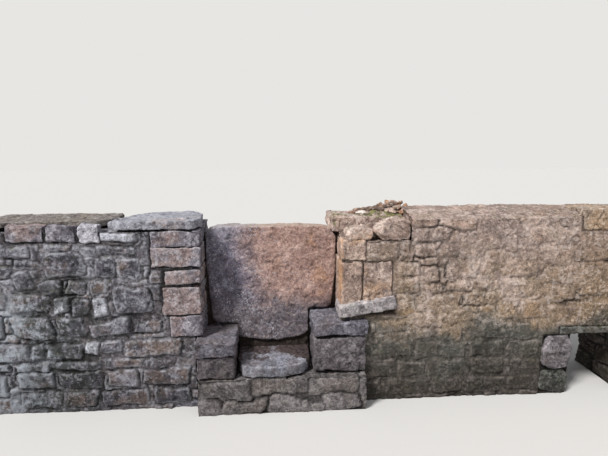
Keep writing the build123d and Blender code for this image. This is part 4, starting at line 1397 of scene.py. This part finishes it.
def right_wall():
    """The rubble mass on the right, round the low opening, with its weathered top."""
    near_zones = [xz_rect(n) for n in RIGHT_QUOINS + RIGHT_FACE_STONES]
    far_zones = [xz_rect(n) for n in RIGHT_QUOINS + ["opening_lintel"]]
    jamb_zones = [yz_rect(n) for n in RIGHT_QUOINS]
    x0, x1, z1 = RIGHT_JAMB, END_HI[0], RIDGE_LO[2] + 0.026
    near = filled_layout(x0, x1, 0, z1, 61, RIGHT_MAIN, length=(0.12, 0.36))
    far = filled_layout(x0, x1, 0, z1, 62, RIGHT_MAIN, length=(0.12, 0.36))
    ends = filled_layout(NEAR_Y, FAR_Y, 0, z1, 63)
    top = filled_layout(x0, x1, NEAR_Y, FAR_Y, 64, length=(0.18, 0.5), course=(0.12, 0.22))
    soft_top = side_relief("xy", top, 940, mortar=-0.004, rough=1.6, buried=0.9, full=0.8)

    def top_face(p):
        """Soft and low over the pier, and raised to the ridge over the rest."""
        height, *rest = soft_top(p)
        height = height * 0.8 - 0.006
        on_ridge = p[:, 2] > z1 - 0.002
        return (np.where(on_ridge, height + ridge_height(p), height - 0.006), *rest)

    def filled(cell):
        """All but the pier's top, its near half a little lower than its far half, and the low opening."""
        along, through, up = cell
        if along == 0:
            return up < 2 or (up == 2 and through == 1)
        if along == 2:
            return up > 0
        return True

    xs = [x0, RIDGE_LO[0], OPENING_X0, OPENING_X1, x1]
    ys = [NEAR_Y, PIER_CAP_LO[1], FAR_Y]
    zs = [0, OPENING_TOP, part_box("right_top_stone_1")[0][2], PIER_CAP_LO[2], z1]
    face = {"mortar": -0.9 * MORTAR_SET_BACK, "joint_depth": SHALLOW_JOINT}
    masonry(
        "right_wall_rubble",
        [xs, ys, zs],
        [RIGHT_GRID, SIDE_GRID, RIGHT_GRID],
        {
            (1, -1): side_relief("xz", near, 700, near_zones, rough=1.4, buried=0.62, smear=0.52, full=0.66,
                                 **face),
            (1, 1): side_relief("xz", far, 800, far_zones, rough=1.3, buried=0.55, smear=0.35, full=0.58,
                                **face),
            (0, -1): side_relief("yz", ends, 960, jamb_zones, SIDE_SET_BACK),
            (0, 1): side_relief("yz", ends, 970, set_back=END_SET_BACK),
            (2, 1): top_face,
            (2, -1): soft_top,
        },
        RIGHT_RUBBLE, ["right_wall_core", "over_opening_masonry", "right_end_masonry", "right_wall_top"],
        "rubble", filled,
    )


def right_stones():
    """Quoins, pier stones and the stones on top."""
    slot = "right_dressed_stone"
    bedded("right_quoin_1", 150, JAMB_STONE, slot, (0.0, -0.002, 0.0, 0.0, 0.0, 0.001), 0.004, tone=0.45)
    bedded("right_quoin_2", 151, JAMB_STONE, slot, (0.0, 0.002, 0.0, 0.0, 0.001, 0.004), tone=0.7)
    bedded("right_pier_stone", 152, RIGHT_STONE, slot, (0.0, 0.002, 0.002, 0.0, 0.0, 0.002), 0.005,
           tone=0.4, lumps=0.008)
    bedded("right_pier_cap", 153, PIER_CAP_STONE, slot, (0.0, 0.0, 0.0, 0.0, -0.02, 0.0), tone=0.6,
           lumps=0.008)
    shaped("right_top_stone_1", OVAL_OUTLINE, 154, PIER_TOP_STONE, slot, depth=0.010, smooth=6, tone=0.75,
           lumps=0.007)
    shaped("right_top_stone_2", PIER_BOULDER_OUTLINE, 155, PIER_TOP_STONE, slot, depth=0.014, smooth=3,
           tone=0.62, lumps=0.014)
    bedded("right_end_top_stone", 156, END_TOP_STONE, slot, (0.0, 0.004, 0.0, 0.0, -0.004, 0.0), 0.008,
           tone=0.5, smooth=4, lumps=0.010)


def ledge_stone():
    """The tilted ledge stone."""
    lo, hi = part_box("right_ledge_stone")
    low = lo[2]
    outline = [
        (lo[0] + 0.012, low), (hi[0] - 0.004, low + 0.062), (hi[0] + 0.002, low + 0.105),
        (hi[0] - 0.014, hi[2]), (hi[0] - 0.2, hi[2] - 0.030), (lo[0] + 0.024, low + 0.098),
        (lo[0] - 0.006, low + 0.084), (lo[0] - 0.016, low + 0.046), (lo[0] - 0.010, low + 0.012),
    ]
    stone("right_ledge_block", prism_xz(outline, lo[1], hi[1]), 160, LEDGE_STONE, "ledge_stone",
          ["right_ledge_stone"], cuts=8, depth=0.010, tone=0.6, smooth=4, lumps=0.005, chips=0.005)


def ledge_packing():
    """The small stones packed under the ledge stone."""
    lo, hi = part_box("ledge_packing")
    outline = [(lo[0] + 0.01, lo[2]), (hi[0], lo[2]), (hi[0], hi[2] - 0.02), (lo[0] + 0.01, hi[2] - 0.06)]
    stone("ledge_packing_stones", prism_xz(outline, lo[1], hi[1]), 170, DAMP_STONE, "bedding",
          ["ledge_packing"], voxel=PACKING_VOXEL, smooth=3, tone=0.3, joint=0.6, cuts=0, lumps=0.012)


def opening_stones():
    """The lintel and the jamb stones of the low opening."""
    slot = "opening_stone"
    rounded = {"depth": 0.018, "smooth": 7, "lumps": 0.012, "grit": 0.005}
    bedded("opening_lintel", 161, SHADED_MOSSY_STONE, slot, (0.004, 0.004, 0.0, 0.0, 0.0, 0.0), tone=0.5)
    shaped("opening_jamb_stone_upper", BOULDER_OUTLINE, 166, BOULDER_STONE, slot, tone=0.88, **rounded)
    shaped("opening_jamb_stone_lower", LOW_JAMB_OUTLINE, 171, SHADED_MOSSY_STONE, slot, 0.016, tone=0.30, **rounded)


# Stones of the heap that show most: (x, y, z, half length, half height, tilt, tone, gloom), in metres from
# the right end of the heap's foot, at the middle of its width
HEAP_STONES = [
    (-0.375, 0.030, 0.010, 0.032, 0.014, 8, 0.40, 0.30),
    (-0.300, -0.010, 0.012, 0.058, 0.013, -4, 0.99, 0.00),
    (-0.250, 0.040, 0.034, 0.046, 0.015, -14, 0.60, 0.75),
    (-0.325, 0.060, 0.024, 0.036, 0.015, -10, 0.40, 0.60),
    (-0.086, -0.030, 0.024, 0.056, 0.026, 2, 0.72, 0.00),
    (-0.161, -0.015, 0.014, 0.026, 0.015, 20, 0.18, 0.45),
    (-0.131, 0.050, 0.058, 0.034, 0.018, 42, 0.45, 0.20),
    (-0.084, 0.055, 0.078, 0.030, 0.019, 64, 0.24, 0.10),
    (-0.036, 0.045, 0.082, 0.034, 0.020, 20, 0.60, 0.15),
    (0.009, 0.040, 0.074, 0.033, 0.019, -32, 0.40, 0.15),
    (0.042, 0.020, 0.048, 0.034, 0.020, -55, 0.24, 0.00),
    (-0.018, -0.010, 0.048, 0.032, 0.018, -28, 0.95, 0.25),
    (0.014, -0.045, 0.022, 0.034, 0.020, -36, 0.40, 0.00),
    (0.056, -0.050, 0.006, 0.030, 0.018, -48, 0.85, 0.00),
    (0.068, -0.100, -0.018, 0.026, 0.015, -50, 0.45, 0.10),
    (0.074, 0.050, 0.012, 0.034, 0.020, -30, 0.18, 0.30),
]
SMALL_HEAP_STONES = 70


def turned(shape, angle, first, second):
    """The points turned in the plane of two axes."""
    c, s = math.cos(angle), math.sin(angle)
    turn = np.eye(3)
    turn[first, first] = turn[second, second] = c
    turn[first, second], turn[second, first] = s, -s
    return shape @ turn


def heap_stone(bm, rng, at, half, tilt, spin, tone, gloom):
    """Adds one broken stone to the heap, with painted shade underneath."""
    tone_of, dark_of = bm.verts.layers.float["tone"], bm.verts.layers.float["dark"]
    points = []
    for _ in range(22):
        way = np.array([rng.gauss(0, 1) for _ in range(3)])
        boxy, ball = way / np.max(np.abs(way)), way / np.linalg.norm(way)
        points.append((boxy * 0.45 + ball * 0.55) * rng.uniform(0.88, 1.0))
    shape = turned(turned(np.array(points) * half, tilt, 0, 2), spin, 0, 1) + at
    shape = keep_within(shape, (cad_box[0][0], NEAR_Y, 0), cad_box[1])
    corners = [bm.verts.new(p) for p in shape]
    hull = bmesh.ops.convex_hull(bm, input=corners)
    spare = {v for kind in ("geom_interior", "geom_unused") for v in hull[kind]
             if isinstance(v, bmesh.types.BMVert)}
    for v in corners:
        if v not in spare:
            v[tone_of] = tone
            # Painted shade: each stone darker towards its underside, on top of its own darkness (gloom).
            v[dark_of] = gloom + 0.45 * float(fade(0.1, -0.9, (v.co.z - at[2]) / half[2]))
    bmesh.ops.delete(bm, geom=list(spare), context="VERTS")


def heap():
    """Loose broken stones in a low heap on the pier, over a mossy mound of grit."""
    lo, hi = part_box("rubble_heap")
    rng = random.Random(5)
    bm = bmesh.new()
    for field in ("tone", "dark"):
        bm.verts.layers.float.new(field)
    foot = np.array([hi[0], (lo[1] + hi[1]) / 2, lo[2]])
    for x, y, z, length, height, tilt, tone, gloom in HEAP_STONES:
        half = np.array([length, 0.8 * length, height])
        heap_stone(bm, rng, foot + [x, y, z], half, math.radians(-tilt), rng.uniform(-0.2, 0.2), tone, gloom)
    middle = np.array([(lo[0] + hi[0]) / 2 + 0.03, hi[1] - 0.09])
    reach = np.array([(hi[0] - lo[0]) / 2 + 0.03, 0.10])
    for _ in range(SMALL_HEAP_STONES):
        turn, out = rng.uniform(0, 2 * math.pi), math.sqrt(rng.random())
        x, y = middle + reach * out * np.array([math.cos(turn), math.sin(turn)])
        size, flat = rng.uniform(0.016, 0.034), rng.uniform(0.40, 0.65)
        rise = (hi[2] - lo[2] - 0.045) * float(fade(lo[0] - 0.03, hi[0] - 0.08, x)) * (1 - out ** 2)
        half = size * np.array([1.1, 0.85, flat])
        at = np.array([x, y, lo[2] + rise + half[2] * 0.6])
        tilt, spin = rng.gauss(0, 0.3), rng.uniform(0, math.pi)
        heap_stone(bm, rng, at, half, tilt, spin, rng.random(), rng.uniform(0.2, 0.8))
    mesh = mesh_from(bm, "heap_stones")
    for field in ("joint", "worn"):
        set_field(mesh, field, 0.0)
    finish_mesh("heap_stones", mesh, LOOSE_STONE, ["rubble_heap"], "loose_rubble", smooth=False)
    heap_grit(middle - 0.03, reach + [0.02, 0.03], lo[2], hi[2])


def heap_grit(middle, reach, foot_z, top_z):
    """The mossy mound of grit that the heap's stones lie in."""
    around = [(math.cos(a), math.sin(a)) for a in np.linspace(0, 2 * math.pi, 18, endpoint=False)]
    low = [(middle[0] + reach[0] * c, middle[1] + reach[1] * s, foot_z - 0.01) for c, s in around]
    crown = [(middle[0] + 0.06 + reach[0] * 0.45 * c, middle[1] + 0.02 + reach[1] * 0.4 * s, top_z - 0.062)
             for c, s in around]
    stone("heap_grit", prism(low, crown), 910, PIER_CAP_STONE, "loose_rubble", voxel=PACKING_VOXEL, tone=0.2,
          joint=1.0, cuts=0, lumps=0.012)


left_wall()
left_stones()
slab_piece()
step_pieces()
footing()
packing()
right_wall()
right_stones()
ledge_stone()
opening_stones()
ledge_packing()
heap()


# Floor, light and camera
# Lights: name, the way to it, its width in degrees, strength and colour
LIGHTS = (
    ("key", (-0.75, -0.64, 1.15), 14, 4.0, (1.0, 0.98, 0.95)),
    ("sky", (0.15, -0.30, 1.0), 70, 0.5, (0.95, 0.97, 1.0)),
)


def pale_floor():
    """A plain pale floor without a sheen."""
    bpy.ops.mesh.primitive_plane_add(size=60, location=(0, 0, 0))
    floor = bpy.context.object
    floor.name = "floor"
    s = Shader("floor_pale")
    s.put(s.bsdf.inputs["Base Color"], (0.56, 0.555, 0.545))
    s.put(s.bsdf.inputs["Specular IOR Level"], 0.0)
    floor.data.materials.append(s.material)


def studio():
    """Soft light from all round, a plain pale background to the eye, and the lamps."""
    world = bpy.data.worlds.new("studio")
    bpy.context.scene.world = world
    s = Nodes(world)
    lit = s.nodes["Background"]
    s.put(lit.inputs["Color"], (0.97, 0.98, 1.0))
    s.put(lit.inputs["Strength"], 0.36)
    seen = s.node("Background", {"Color": (0.80, 0.79, 0.77)})
    share = s.node("LightPath", {}, "Is Camera Ray")
    for ray in ("Is Glossy Ray", "Is Transmission Ray"):
        share = s.math("MAXIMUM", share, s.node("LightPath", {}, ray))
    both = s.node("MixShader", {0: share, 1: lit.outputs[0], 2: seen})
    s.put(s.nodes["World Output"].inputs["Surface"], both)
    for name, way, width, strength, colour in LIGHTS:
        light = bpy.data.lights.new(name, "SUN")
        light.angle = math.radians(width)
        light.energy = strength
        light.color = colour
        lamp = bpy.data.objects.new(name, light)
        bpy.context.scene.collection.objects.link(lamp)
        flat = math.hypot(way[0], way[1])
        lamp.rotation_euler = (math.atan2(flat, way[2]), 0, math.atan2(way[0], -way[1]))


def camera():
    """The photo's view: eye level, a little right of square on, tipped down."""
    data = bpy.data.cameras.new("view")
    data.lens = 27.83
    data.sensor_width = 36.0
    data.clip_start = 0.05
    eye = bpy.data.objects.new("view", data)
    bpy.context.scene.collection.objects.link(eye)
    eye.location = (0.0, -3.52, 1.95)
    eye.rotation_euler = (math.radians(79.6), 0, math.radians(-4.1))
    bpy.context.scene.camera = eye


pale_floor()
studio()
camera()
bpy.context.scene.view_settings.view_transform = "Standard"
